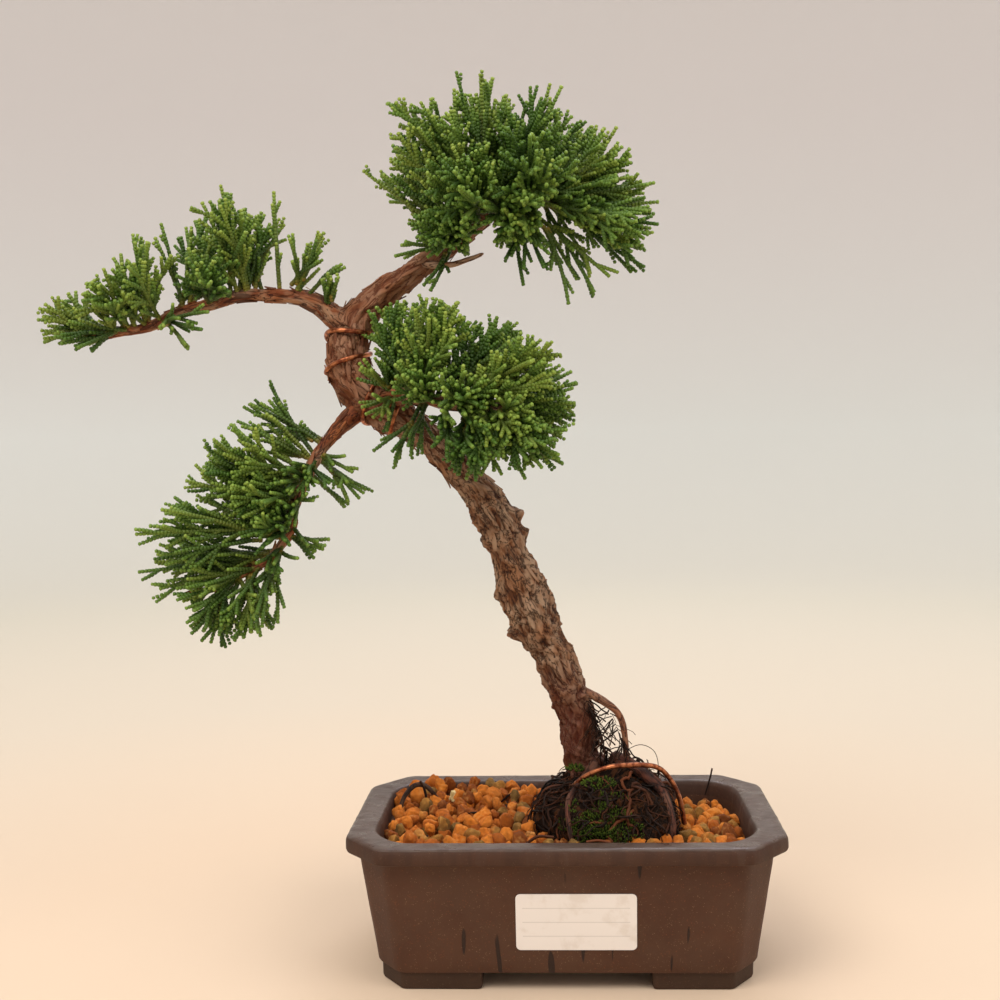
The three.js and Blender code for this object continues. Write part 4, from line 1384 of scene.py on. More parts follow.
@dataclass
class SoilBed:
    """Two layers of fired clay granules over a dark packed bed."""

    pot: Pot
    grain_radius: float = 2.85
    spacing: float = 3.95
    drop: float = 4.9
    slope: float = 3.4
    heap: float = 3.4
    wall_gap: float = 0.6
    rings: int = 14

    def level(self, x: float, y: float) -> float:
        """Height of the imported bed."""
        top = self.pot.height - self.drop
        heaped = self.heap * smooth(-20, 34, y) * smooth(12, -30, x)
        return top + heaped - self.slope * smooth(0.2 * self.pot.half_x, self.pot.half_x, x + 0.6 * y)

    def sheet(self, name: str, inset: float, sink: float) -> Mesh:
        """A sheet over the bed, inset from the opening and sunk below its surface."""
        outline = self.pot.ring(self.pot.rim_width + inset, 0.0, 2 * self.pot.fillet)
        points = [(0.0, 0.0, self.level(0, 0) - sink)]
        for t in [r / self.rings for r in range(1, self.rings + 1)]:
            for x, y, _ in outline:
                bump = 0.8 * noise.noise(Vector((x * t * 0.12, y * t * 0.12, 4)))
                points.append((x * t, y * t, self.level(x * t, y * t) - sink + bump))
        return mesh_of(name, points, disc(self.rings, len(outline)))

    def packed(self) -> Mesh:
        """The closed block of packed clay under the granules."""
        mesh = self.sheet("packed", self.wall_gap, 2.6)
        shape = bmesh.new()
        shape.from_mesh(mesh)
        low = (self.pot.foot_height + self.pot.floor + 1.3) * MM
        grown = bmesh.ops.extrude_face_region(shape, geom=shape.faces[:])
        sunk = [v for v in grown["geom"] if isinstance(v, bmesh.types.BMVert)]
        shrink = 1 - self.pot.inner_taper / self.pot.half_x
        for vertex in sunk:
            vertex.co.x = ORIGIN.x + (vertex.co.x - ORIGIN.x) * shrink
            vertex.co.y = ORIGIN.y + (vertex.co.y - ORIGIN.y) * shrink
            vertex.co.z = low
        bmesh.ops.recalc_face_normals(shape, faces=shape.faces[:])
        shape.to_mesh(mesh)
        shape.free()
        return mesh

    def build(self) -> None:
        """Makes the granules, the bed and the two grains that lie on it."""
        clay = BakedClay().material()
        kinds = [pebble(f"granule_{i}", 20 + i, self.grain_radius) for i in range(7)]
        choices = shape_box("granules", kinds)
        grower = scatter_grower()
        layers = []
        for name, inset, sink, seed in (("low", 2.0, 2.2, 5), ("high", 2.8, -1.0, 9)):
            layers.append(grower.run(name, self.sheet(name, inset, sink), {
                "Shapes": choices, "Spacing": self.spacing * MM, "Lift": 0.7 * MM,
                "Seed": seed, "Material": clay,
            }))
        empty_box(choices)
        bed = join("soil_granules", layers)
        hand_over(put(bed, clay), "baked_clay", "akadama_soil")
        floor = put(self.packed(), SingleGrain("packed_clay", "5a3519", "2c180b").material())
        floor.name = "soil_packed"
        hand_over(floor, "baked_clay")
        for node, finish in (
            ("pumice_grain", SingleGrain("pumice", "e3cf98", "a4824a")),
            ("loose_grain", SingleGrain("loose_clay", "c98a45", "7a4a20")),
        ):
            low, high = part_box(node)
            grain = pebble(f"{node}_stone", 77, (high.x - low.x) / 2 / MM * 0.98, 4)
            seat = Vector((0, 0, self.heap if node == "pumice_grain" else 0.0)) * MM
            grain.transform(Matrix.Translation((low + high) / 2 + seat))
            slot = "pumice" if node == "pumice_grain" else "baked_clay"
            hand_over(put(grain, finish.material()), slot, node)


def join(name: str, meshes: Sequence[Mesh]) -> Mesh:
    """Several meshes as one, keeping their attributes and UV maps."""
    pieces = [put(mesh) for mesh in meshes]
    with bpy.context.temp_override(
        active_object=pieces[0], selected_editable_objects=pieces, selected_objects=pieces
    ):
        bpy.ops.object.join()
    mesh = pieces[0].data
    bpy.data.objects.remove(pieces[0])
    mesh.name = name
    return mesh


# ---- roots --------------------------------------------------------------------------


@dataclass
class RootBall:
    """The matted root ball, its moss, its fine roots and the thick surface roots."""

    centre: Point = (15.5, -7, 44)
    radii: Point = (22.5, 25.5, 22.5)
    surface_ways: Sequence[Sequence[Point]] = (
        ((0.1, 0.2, 1.0, 2.6), (0.35, -0.1, 0.95, 2.1), (0.75, -0.4, 0.75, 1.7), (0.78, -0.62, 0.35, 1.4),
         (0.72, -0.7, 0.0, 1.1)),
        ((-0.2, 0.2, 1.0, 2.0), (-0.4, -0.1, 0.9, 1.5), (-0.55, -0.5, 0.62, 1.1), (-0.5, -0.75, 0.3, 0.9),
         (-0.42, -0.8, 0.0, 0.7)),
    )
    arch: Sequence[Point] = (
        (3, 3, 94, 2.0), (8.5, 2, 92.5, 1.6), (15, -3, 89.8, 1.3), (19.5, -5, 86, 1.1), (21.5, -6, 79, 1.0),
        (22, -8, 65, 1.0),
    )
    loose: Sequence[Point] = (
        (-61, 9, 43, 0.9), (-60, 9, 51, 0.8), (-57, 11, 55.5, 0.9), (-53.5, 13, 56.5, 0.9),
        (-50, 15, 54, 0.85), (-46, 18, 47, 0.6),
    )

    def skin(self, way: Vector) -> Vector:
        """The mound's surface in one direction from its middle."""
        lumps = 1 + 0.2 * noise.noise(way * 1.9 + Vector((4, 1, 2))) + 0.11 * noise.noise(way * 4.6)
        boxy = sum(abs(c) ** 2.7 for c in way) ** (-1 / 2.7)
        return Vector(self.centre) + Vector(a * b for a, b in zip(way, self.radii)) * (lumps * boxy)

    def body(self) -> Mesh:
        """The mound as a closed, matted lump."""
        shape = bmesh.new()
        bmesh.ops.create_icosphere(shape, subdivisions=6, radius=1.0)
        points = []
        floor = 12.0
        for vertex in shape.verts:
            way = unit(vertex.co)
            p = self.skin(way)
            rough = 1.3 * noise.noise(p * 0.35) + 0.8 * noise.noise(p * 0.9)
            p += way * (rough + 0.4 * noise.noise(p * 2.0))
            points.append((p.x, p.y, max(p.z, self.centre[2] - floor)))
        faces = [[v.index for v in face.verts] for face in shape.faces]
        shape.free()
        mesh = mesh_of("mound_body", points, faces)
        mesh.shade_smooth()
        return mesh

    def wander(self, pick: random.Random, start: Vector, heading: Vector, length: float,
               lift: float) -> list[Vector]:
        """A fine root that wanders over the mound from a direction."""
        way, line = start.copy(), []
        step = 1.3
        for i in range(int(length / step)):
            t = i * step / length
            up = lift * math.sin(math.pi * t) + 0.15
            line.append(self.skin(way) + way * up)
            heading = unit(heading + toss(pick, z=0.7) * 0.45 + Vector((0, 0, -0.15)))
            way = unit(way + (heading - way * heading.dot(way)) * step / 25)
            if line[-1].z < 43:
                break
        return line

    def fine_roots(self) -> Mesh:
        """Fine roots over the mound, and hairs between the arch root and the trunk's foot."""
        pick = random.Random(41)
        roots = Polylines()
        for _ in range(560):
            around = pick.uniform(0, 2 * math.pi)
            start = unit(Vector((math.cos(around), math.sin(around), pick.uniform(-0.1, 1.5))))
            heading = unit(Vector((pick.gauss(0, 1), pick.gauss(0, 1), pick.gauss(-0.5, 0.6))))
            line = self.wander(pick, start, heading, pick.uniform(6, 24), pick.choice((0.2, 0.6, 1.3, 2.8)))
            if len(line) > 3:
                girth = pick.choice((0.12, 0.16, 0.2, 0.26, 0.34, 0.5))
                count = len(line)
                roots.add(line, thickness=[girth * MM * (1 - 0.5 * i / count) for i in range(count)],
                          tone=0.02 + 0.9 * pick.random() ** 1.8)
        # Thicker roots that run down the right side.
        for _ in range(9):
            start = unit(Vector((pick.uniform(0.3, 0.9), pick.uniform(-0.7, 0.1), pick.uniform(0.5, 1.2))))
            heading = Vector((pick.gauss(0.3, 0.4), pick.gauss(-0.4, 0.4), -1.0))
            line = self.wander(pick, start, unit(heading), pick.uniform(20, 32), 0.9)
            roots.add(line, thickness=pick.uniform(0.55, 0.62) * MM, tone=pick.uniform(0.6, 0.9))
        for k in range(96):
            t = pick.random()
            if k % 3 == 0:
                start = Vector((lerp(15, 22, t), lerp(-2, -8, t), lerp(89.5, 74, t)))
                drift = Vector((pick.gauss(-0.1, 0.5), pick.gauss(-0.2, 0.4), 0))
            else:
                start = Vector((lerp(8, 15, t), pick.uniform(-5, 2), lerp(92, 68, t)))
                drift = Vector((pick.uniform(0.1, 1.1), pick.gauss(-0.2, 0.4), 0))
            line = [start]
            for i in range(pick.randint(4, 12)):
                drift += Vector((pick.gauss(-0.08, 0.4), pick.gauss(0, 0.4), 0))
                fall = -0.7 - 0.08 * i + pick.gauss(0, 0.3)
                line.append(line[-1] + unit(drift + Vector((0, 0, fall))) * 1.3)
            girth = pick.choice((0.1, 0.14, 0.2, 0.28))
            roots.add(line, thickness=girth * MM, tone=pick.uniform(0.02, 0.45))
        loop = through([(22, -8, 74), (27, -9, 76), (31.5, -10, 74), (33, -10, 69), (32, -10, 64)], 1.0)
        roots.add(loop, thickness=0.13 * MM, tone=0.3)
        return roots.mesh("fine_roots")

    def twigs(self) -> Mesh:
        """Bits of twig and root that lie about on the soil."""
        bits = Polylines()
        for stops, girth, tone in (
            (((-13, -36, 49), (-9, -36.5, 51.5), (-4, -36, 51)), 0.55, 0.8),
            (((7, -38, 50), (11, -38.5, 50.6), (15, -37.5, 49.5)), 0.5, 0.95),
            (((-51, 12, 50), (-52, 12, 55), (-53.5, 12, 58)), 0.5, 0.1),
            (((-38, 2, 48), (-33, -2, 50), (-29, 1, 49)), 0.4, 0.2),
            (((-24, 20, 48), (-19, 24, 50.5), (-14, 23, 49.5)), 0.4, 0.3),
            (((54, 36, 46), (56, 37, 52), (57, 37.5, 56)), 0.35, 0.3),
        ):
            bits.add(through(stops, 1.0), thickness=girth * MM, tone=tone)
        return bits.mesh("soil_twigs")

    def moss(self, grower: Grower) -> Mesh:
        """Cushions of moss: short shoots over the mound's front and the trunk's foot."""
        pick = random.Random(23)
        tufts = Polylines()
        low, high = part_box("moss")
        middle = ((low + high) / 2 - ORIGIN) / MM
        size = (high - low) / MM / 2
        patches = [(middle, size, 300), (Vector((12, -19, 64)), Vector((7, 6, 2.5)), 130),
                   (Vector((4, -6, 66)), Vector((4, 4, 2)), 80)]
        roots = []
        for centre, radii, count in patches:
            for _ in range(count):
                way = unit(Vector((pick.gauss(0, 1), pick.gauss(0, 1), abs(pick.gauss(0, 0.8)) + 0.1)))
                spot = centre + Vector(a * b for a, b in zip(way, radii)) * pick.uniform(0.55, 0.92)
                roots.append((spot, way))
        # A thin mat that spreads over the mound's front.
        while len(roots) < 1700:
            way = unit(Vector((pick.gauss(0, 0.6), -1.0, pick.gauss(0.25, 0.5))))
            spot = self.skin(way)
            thin = ((spot.x - 12) / 12) ** 2 + ((spot.z - 51) / 11) ** 2 + 1.6 * noise.noise(spot * 0.22)
            if thin < 0.9:
                roots.append((spot, way))
        for spot, way in roots:
            lean = unit(way + Vector((pick.gauss(0, 0.4), pick.gauss(0, 0.4), 0.7)))
            rise = pick.uniform(0.7, 1.7)
            line = [spot + lean * rise * t for t in (0, 0.4, 0.75, 1)]
            thick = [w * MM * pick.uniform(0.8, 1.2) for w in (0.22, 0.3, 0.22, 0.05)]
            tufts.add(line, thickness=thick, tone=pick.uniform(0.05, 0.95))
        return grower.run("moss_cushion", tufts.mesh("tufts"), {"Sides": 4, "Material": Moss().material()})

    def build(self, grower: Grower) -> None:
        """Makes everything between the soil and the trunk."""
        hand_over(put(self.body(), DarkFibre().material()), "root_fibre", "root_mound")
        strands = Strands("fine_root", ((0.0, "120a06"), (0.5, "25150d"), (0.8, "452515"), (1.0, "743f24")))
        material = strands.material()
        for mesh in (self.fine_roots(), self.twigs()):
            grown = grower.run(mesh.name, mesh, {"Sides": 5, "Material": material})
            hand_over(put(grown), "root_fibre")
        hand_over(put(self.moss(grower)), "moss", "moss")
        bark = Bark("root_bark", "170a05", "3c1c13", "603220", "6a4a3a", 0.35, 0.66).material()
        tan = Bark("arch_bark", "2a120b", "5c3220", "8a563a", "94745c", 0.45, 0.62).material()
        for i, ways in enumerate(self.surface_ways):
            stops = []
            for *way, radius in ways:
                way = unit(Vector(way))
                stops.append((*(self.skin(way) + way * 0.8), radius))
            root = Limb(f"surface_root_{i + 1}_bark", stops, 18, 0.8, 0.14, 0.06, seed=30.0 + i)
            hand_over(put(root.mesh(), bark), "root_bark", f"surface_root_{i + 1}")
        arch = Limb("arch_root_bark", self.arch, 14, 0.7, 0.16, 0.05, seed=50.0)
        hand_over(put(arch.mesh(), tan), "root_bark", "arch_root")
        dark = Bark("loose_root_bark", "120b08", "2a1a12", "4a3020", "5a4636", 0.3, 0.7).material()
        loose = Limb("loose_root_bark", self.loose, 14, 0.7, 0.2, 0.05, seed=60.0)
        hand_over(put(loose.mesh(), dark), "root_bark", "loose_root")


# ---- trunk and branches -------------------------------------------------------------


TRUNK = (
    (14, 4, 46, 8.2), (12.8, 4, 53, 8.6), (9.3, 4, 63, 7.2), (6, 4, 70, 5.9), (5, 4, 83, 6.3),
    (0, 3, 98, 6.5), (-5, 2, 110, 6.5), (-8, 1, 115, 7.5), (-14, 0, 130, 8.4), (-18, -1, 142, 6.4),
    (-21, -1, 150, 6.5), (-24.5, -2, 158, 7.1), (-29, -2, 166, 5.7), (-38, -1, 175, 5),
    (-46, 0, 184, 5), (-55, 1, 191, 5.7), (-65, 2, 197.5, 7.2), (-74, 3, 205.5, 6.9),
    (-76, 4, 216, 7.2), (-75, 5, 223, 7.4), (-73, 5, 230, 6.2),
)


@dataclass
class Wood:
    """The trunk with its branches, dead twig and peeling bark."""

    apex: Sequence[Point] = (
        (-74, 4, 224, 6.2), (-70, 5, 231, 5.6), (-62, 5, 238, 4.9), (-54, 4, 243, 4.4), (-44, 3, 250, 3.9),
        (-34, 2, 257, 3.2), (-24, 0, 264, 2.6), (-14, 0, 268, 1.9), (-3, -2, 269, 1.3),
    )
    left: Sequence[Point] = (
        (-74, 5, 224, 4.6), (-80, 5, 229, 4.0), (-88, 5, 234.5, 3.1), (-99, 4, 237, 2.4),
        (-114, 2, 237, 2.1), (-124, 0, 234, 1.9), (-136, -2, 231, 1.7), (-146, -4, 226, 1.6),
        (-157, -6, 224, 1.5),
        (-168, -8, 221, 1.2),
    )
    lower_left: Sequence[Point] = (
        (-71, 2, 197, 3.6), (-77, 0, 191, 2.9), (-83, -3, 184, 2.0), (-87, -6, 178, 1.9),
        (-90, -8, 172, 1.9), (-93.5, -9, 162, 1.7), (-95.5, -10, 153, 1.6),
        (-103, -11, 143.5, 1.4), (-114, -12, 137, 1.2),
        (-123, -13, 133, 1.0), (-133, -14, 131.5, 0.8),
    )
    middle: Sequence[Point] = (
        (-62, -3, 199, 3.6), (-58, -8, 200, 3.0), (-48, -13, 199, 2.4), (-38, -20, 197, 2.0),
        (-28, -25, 196, 1.6), (-16, -28, 193, 1.2),
    )
    dead: Sequence[Point] = (
        (-49, 2, 247, 1.7), (-43, -2, 246.2, 1.4), (-37, -4, 246, 1.05), (-31, -5, 247.6, 0.8),
        (-26, -6, 249.3, 0.55),
    )
    branch_peel: float = 45000.0
    knobs: Sequence[Knob] = (
        Knob((-15.2, 0, 115.5), 3.4, 3.1), Knob((-16.8, -1, 157), 2.8, 2.5),
        Knob((-14.3, -1, 150.5), 2.6, 2.4),
        Knob((-22, 0, 129), 1.4, 3.0), Knob((-28, 1, 147), 1.8, 2.3), Knob((-17.5, -8, 141), 1.5, 2.4),
        Knob((-64, -1, 186), 3.2, 3.2), Knob((-70, -2, 212), 1.6, 3.5), Knob((-7.6, 2, 96), 1.6, 1.5),
        Knob((-2.6, 2, 88), 1.7, 1.5), Knob((2.4, -2, 100), 1.0, 2.4), Knob((-11, -7, 124), 1.2, 2.2),
    )

    @classmethod
    def limbs(cls) -> tuple[Sequence[Point], ...]:
        """The stops of every branch that carries foliage."""
        return (cls.apex, cls.left, cls.lower_left, cls.middle)

    @staticmethod
    def shag(p: Vector) -> float:
        """How thickly bark peels at a place: little low down, most at the top."""
        return lerp(0.05, 1.0, smooth(160, 192, p.z)) * smooth(66, 90, p.z)

    def build(self) -> None:
        """Makes the trunk, the branches and the dead twig."""
        bark = Bark("bark", "1f100a", "62391f", "946848", "a88d74", 0.62, low="58200e").material()
        young = Bark("young_bark", "2e130a", "7c3f22", "a06038", "ab8d72", 0.5).material()
        strips = shape_box("strips", [Peelings().strip(f"strip_{i}", 60 + i) for i in range(5)])
        grower = peeling_grower()
        trunk = Limb("trunk_bark", TRUNK, 116, 0.6, 0.1, 0.11, 0.12, 0.42, knobs=self.knobs, seed=3.0,
                     peel=self.shag)
        values = {"Strips": strips, "Bark": bark, "Seed": 4}
        hand_over(put(grower.run("trunk_bark", trunk.mesh(), values)), "bark", "trunk")
        for i, (node, stops, sides, material) in enumerate((
            ("apex_branch", self.apex, 56, bark), ("left_branch", self.left, 36, young),
            ("lower_left_branch", self.lower_left, 32, young), ("middle_branch", self.middle, 32, young),
        )):
            limb = Limb(f"{node}_bark", stops, sides, 0.6, 0.13, 0.13, 0.16, seed=10.0 * (i + 2))
            values = {"Strips": strips, "Bark": material, "Seed": 20 + i, "Spacing": 2.0 * MM,
                      "Density": self.branch_peel}
            hand_over(put(grower.run(f"{node}_bark", limb.mesh(), values)), "bark", node)
        dry = Bark("dead_wood", "3a1c10", "7a4a30", "a97a58", "b59c86", 0.5).material()
        twig = Limb("dead_twig_wood", self.dead, 18, 0.5, 0.16, 0.08, tip=0.5, seed=70.0)
        hand_over(put(twig.mesh(), dry), "dead_wood", "dead_twig")
        empty_box(strips)


# ---- copper wire --------------------------------------------------------------------


@dataclass
class CopperWires:
    """Training wire left on the trunk and the wire that ties the root ball down."""

    radius: float = 0.9
    reach: float = 8.2
    anchor: Sequence[Point] = (
        (0, -8, 58), (6.5, -14, 65.5), (14, -16.5, 69.5), (22, -16.5, 70.5), (31.5, -14.5, 69.5),
        (36.5, -12, 65), (40, -11, 58), (42, -10, 48),
    )

    def winding(self, start: float, end: float, turns: float, phase: float) -> list[Point]:
        """A helix round the trunk between two shares of its length."""
        line = through(TRUNK, 0.5)
        steps = int(turns * 40)
        points = []
        for i in range(steps + 1):
            here = lerp(start, end, i / steps) * (len(line) - 1)
            at = min(len(line) - 2, int(here))
            centre = Vector(line[at][:3]).lerp(Vector(line[at + 1][:3]), here - at)
            tangent = unit(Vector(line[at + 1][:3]) - Vector(line[at][:3]))
            across = unit(Vector((0, 1, 0)).cross(tangent))
            front = tangent.cross(across)
            angle = phase + 2 * math.pi * turns * i / steps
            points.append(tuple(centre + blend(across, front, angle) * self.reach))
        return points

    def build(self, grower: Grower) -> None:
        """Makes the three wires."""
        copper = Copper().material()
        routes = {
            "training_wire_upper": self.winding(0.905, 0.975, 1.4, 3.3),
            "training_wire_lower": self.winding(0.775, 0.845, 1.3, 3.6),
            "anchor_wire": through(self.anchor, 0.8),
        }
        for node, route in routes.items():
            line = Polylines()
            line.add([p[:3] for p in route], thickness=self.radius * MM, tone=0.5)
            grown = grower.run(f"{node}_copper", line.mesh(node), {"Sides": 14, "Material": copper})
            hand_over(put(grown), "copper_wire", node)


# ---- foliage ------------------------------------------------------------------------


class Habit(Enum):
    """How a spray of foliage grows."""

    DENSE = "dense"
    AIRY = "airy"
    SLENDER = "slender"
    TRAILING = "trailing"
    LONE = "lone"


@dataclass(frozen=True)
class Spray:
    """One leafy spray, from where it leaves its twig to its tip."""

    root: Point
    tip: Point
    spread: float
    habit: Habit

    @classmethod
    def of(cls, row: Sequence) -> Spray:
        """A spray from a row: its root, its tip, its spread and, if it isn't dense, its habit."""
        return cls(row[:3], row[3:6], row[6], Habit(row[7]) if len(row) > 7 else Habit.DENSE)


SPRAYS: dict[str, Sequence[tuple]] = {
    "apex_spray": (
        (-36, 1, 262, -57, 12, 287, 14), (-31, 4, 266, -46, -12, 300, 15), (-25, 1, 268, -25, 4, 311, 16),
        (-18, 2, 270, -5, -14, 300, 16), (-12, 4, 271, 13, 19, 295, 15), (-3, 0, 271, 25, -9, 281, 14),
        (1, -2, 267, 31, 6, 265, 12), (-1, -6, 265, 30, -20, 253, 11),
        (-7, -7, 262, 12, -15, 235, 12, "trailing"), (-16, -6, 264, -15, -27, 256, 11),
        (-30, -6, 258, -46, -19, 256, 10, "airy"), (-25, -6, 264, -36, -36, 272, 15),
        (-12, -6, 268, -6, -39, 275, 15), (-20, 8, 268, -20, 39, 289, 17),
    ),
    "middle_spray": (
        (-56, -12, 206, -57, -5, 231, 12), (-47, -15, 204, -38, -26, 229, 13),
        (-36, -18, 202, -18, -4, 225, 13), (-27, -23, 200, -3, -36, 213, 12),
        (-20, -26, 197, 3, -18, 195, 12), (-23, -28, 190, -1, -38, 178, 11),
        (-32, -26, 192, -27, -40, 174, 12), (-50, -18, 196, -56, -24, 178, 9, "trailing"),
    ),
    "left_spray": (
        (-94, 3, 241, -84, -3, 257, 12, "trailing"), (-109, 4, 240, -108, 10, 266, 9, "airy"),
        (-118, 1, 238, -115, -9, 270, 11, "airy"), (-131, 0, 235, -128, 12, 262, 14, "airy"),
        (-146, -4, 229, -147, -13, 254, 14, "airy"), (-160, -7, 225, -181, -5, 233, 11, "airy"),
        (-141, -6, 228, -126, -20, 224, 9, "trailing"),
    ),
    "lower_left_spray": (
        (-83, -1, 184, -114, 6, 197, 12, "trailing"), (-84, -7, 179, -71, -12, 165, 9, "trailing"),
        (-90, -7, 171, -119, -18, 183, 12, "slender"), (-95, -7, 160, -133, 0, 170, 12, "slender"),
        (-97, -12, 151, -142, -19, 156, 13, "slender"), (-106, -12, 142, -145, -4, 142, 12, "slender"),
        (-119, -14, 134, -122, -20, 116, 12, "slender"), (-100, -12, 144, -103, -25, 122, 9, "trailing"),
    ),
    "fork_sprig": ((-80, -1, 234, -81, -5, 243, 4, "trailing"),),
}

# Shoots that fill in between the sprays, each group made with the spray it is named for.
FILLERS: dict[str, Sequence[tuple]] = {
    "apex_spray_1": ((-38, 0, 260, -68, 2, 280, 4, "lone"),),
    "apex_spray_3": ((-27, 0, 268, -34, -8, 311, 5, "lone"),),
    "apex_spray_4": ((-14, 0, 270, -2, -8, 306, 5, "lone"),),
    "apex_spray_7": ((0, -3, 267, 33, -8, 272, 5, "lone"),),
    "apex_spray_8": ((-2, -6, 265, 29, -14, 243, 6, "lone"),),
    "apex_spray_9": (
        (-12, -4, 264, -5, -20, 243, 10, "trailing"), (-14, -4, 264, -12, -14, 238, 8, "lone"),
    ),
    "apex_spray_11": (
        (-40, -2, 255, -56, -8, 249, 6, "lone"), (-34, -3, 257, -34, -22, 256, 9, "airy"),
        (-38, -2, 256, -44, -10, 237, 4, "lone"),
    ),
    "middle_spray_1": (
        (-60, -10, 203, -67, -15, 212, 8, "trailing"), (-58, -11, 201, -64, -17, 193, 8, "trailing"),
    ),
    "middle_spray_2": ((-47, -16, 201, -46, -34, 207, 11),),
    "middle_spray_4": ((-35, -23, 198, -30, -41, 199, 12),),
    "middle_spray_5": ((-21, -26, 197, 5, -20, 203, 6, "lone"),),
    "middle_spray_7": ((-20, -28, 194, -13, -42, 186, 11),),
    "left_spray_1": ((-92, 3, 240, -89, 0, 254, 3, "lone"), (-100, 4, 240, -101, 2, 273, 3, "lone")),
    "left_spray_2": ((-111, 3, 240, -119, -2, 275, 4, "lone"),),
    "left_spray_4": (
        (-124, -2, 235, -122, -20, 246, 11, "airy"), (-134, -1, 233, -139, -8, 261, 4, "lone"),
    ),
    "left_spray_5": ((-152, -7, 227, -160, -20, 240, 10, "airy"),),
    "left_spray_6": ((-156, -7, 225, -172, -17, 220, 8, "trailing"),),
    "lower_left_spray_1": (
        (-88, -4, 177, -112, -6, 190, 9, "trailing"), (-84, -3, 182, -106, -2, 198, 7, "lone"),
    ),
    "lower_left_spray_2": (
        (-86, -8, 176, -87, -22, 170, 8, "trailing"), (-84, -7, 180, -73, -14, 174, 6, "lone"),
    ),
    "lower_left_spray_3": (
        (-90, -8, 172, -95, -24, 171, 8, "trailing"), (-92, -7, 166, -124, -12, 176, 10, "slender"),
    ),
    "lower_left_spray_4": (
        (-93, -9, 163, -112, -24, 166, 11, "slender"), (-93, -10, 164, -92, -23, 160, 8, "trailing"),
    ),
    "lower_left_spray_5": (
        (-96, -11, 154, -104, -27, 156, 10, "slender"), (-96, -10, 152, -84, -14, 147, 6, "trailing"),
    ),
    "lower_left_spray_6": ((-112, -12, 138, -132, -22, 132, 11, "slender"),),
    "lower_left_spray_7": ((-108, -13, 139, -110, -22, 118, 10, "slender"),),
    "lower_left_spray_8": ((-99, -12, 147, -97, -24, 140, 8, "trailing"),),
}


@dataclass(frozen=True)
class Form:
    """How the shoots of a spray branch.

    leaders is how many shoots fan out beside the main one, gap the distance between side
    shoots, angle how far they open, side their greatest length, and forks how often a
    side shoot forks again, from 0 to 1.
    """

    leaders: int
    gap: float
    angle: float
    side: float
    forks: float


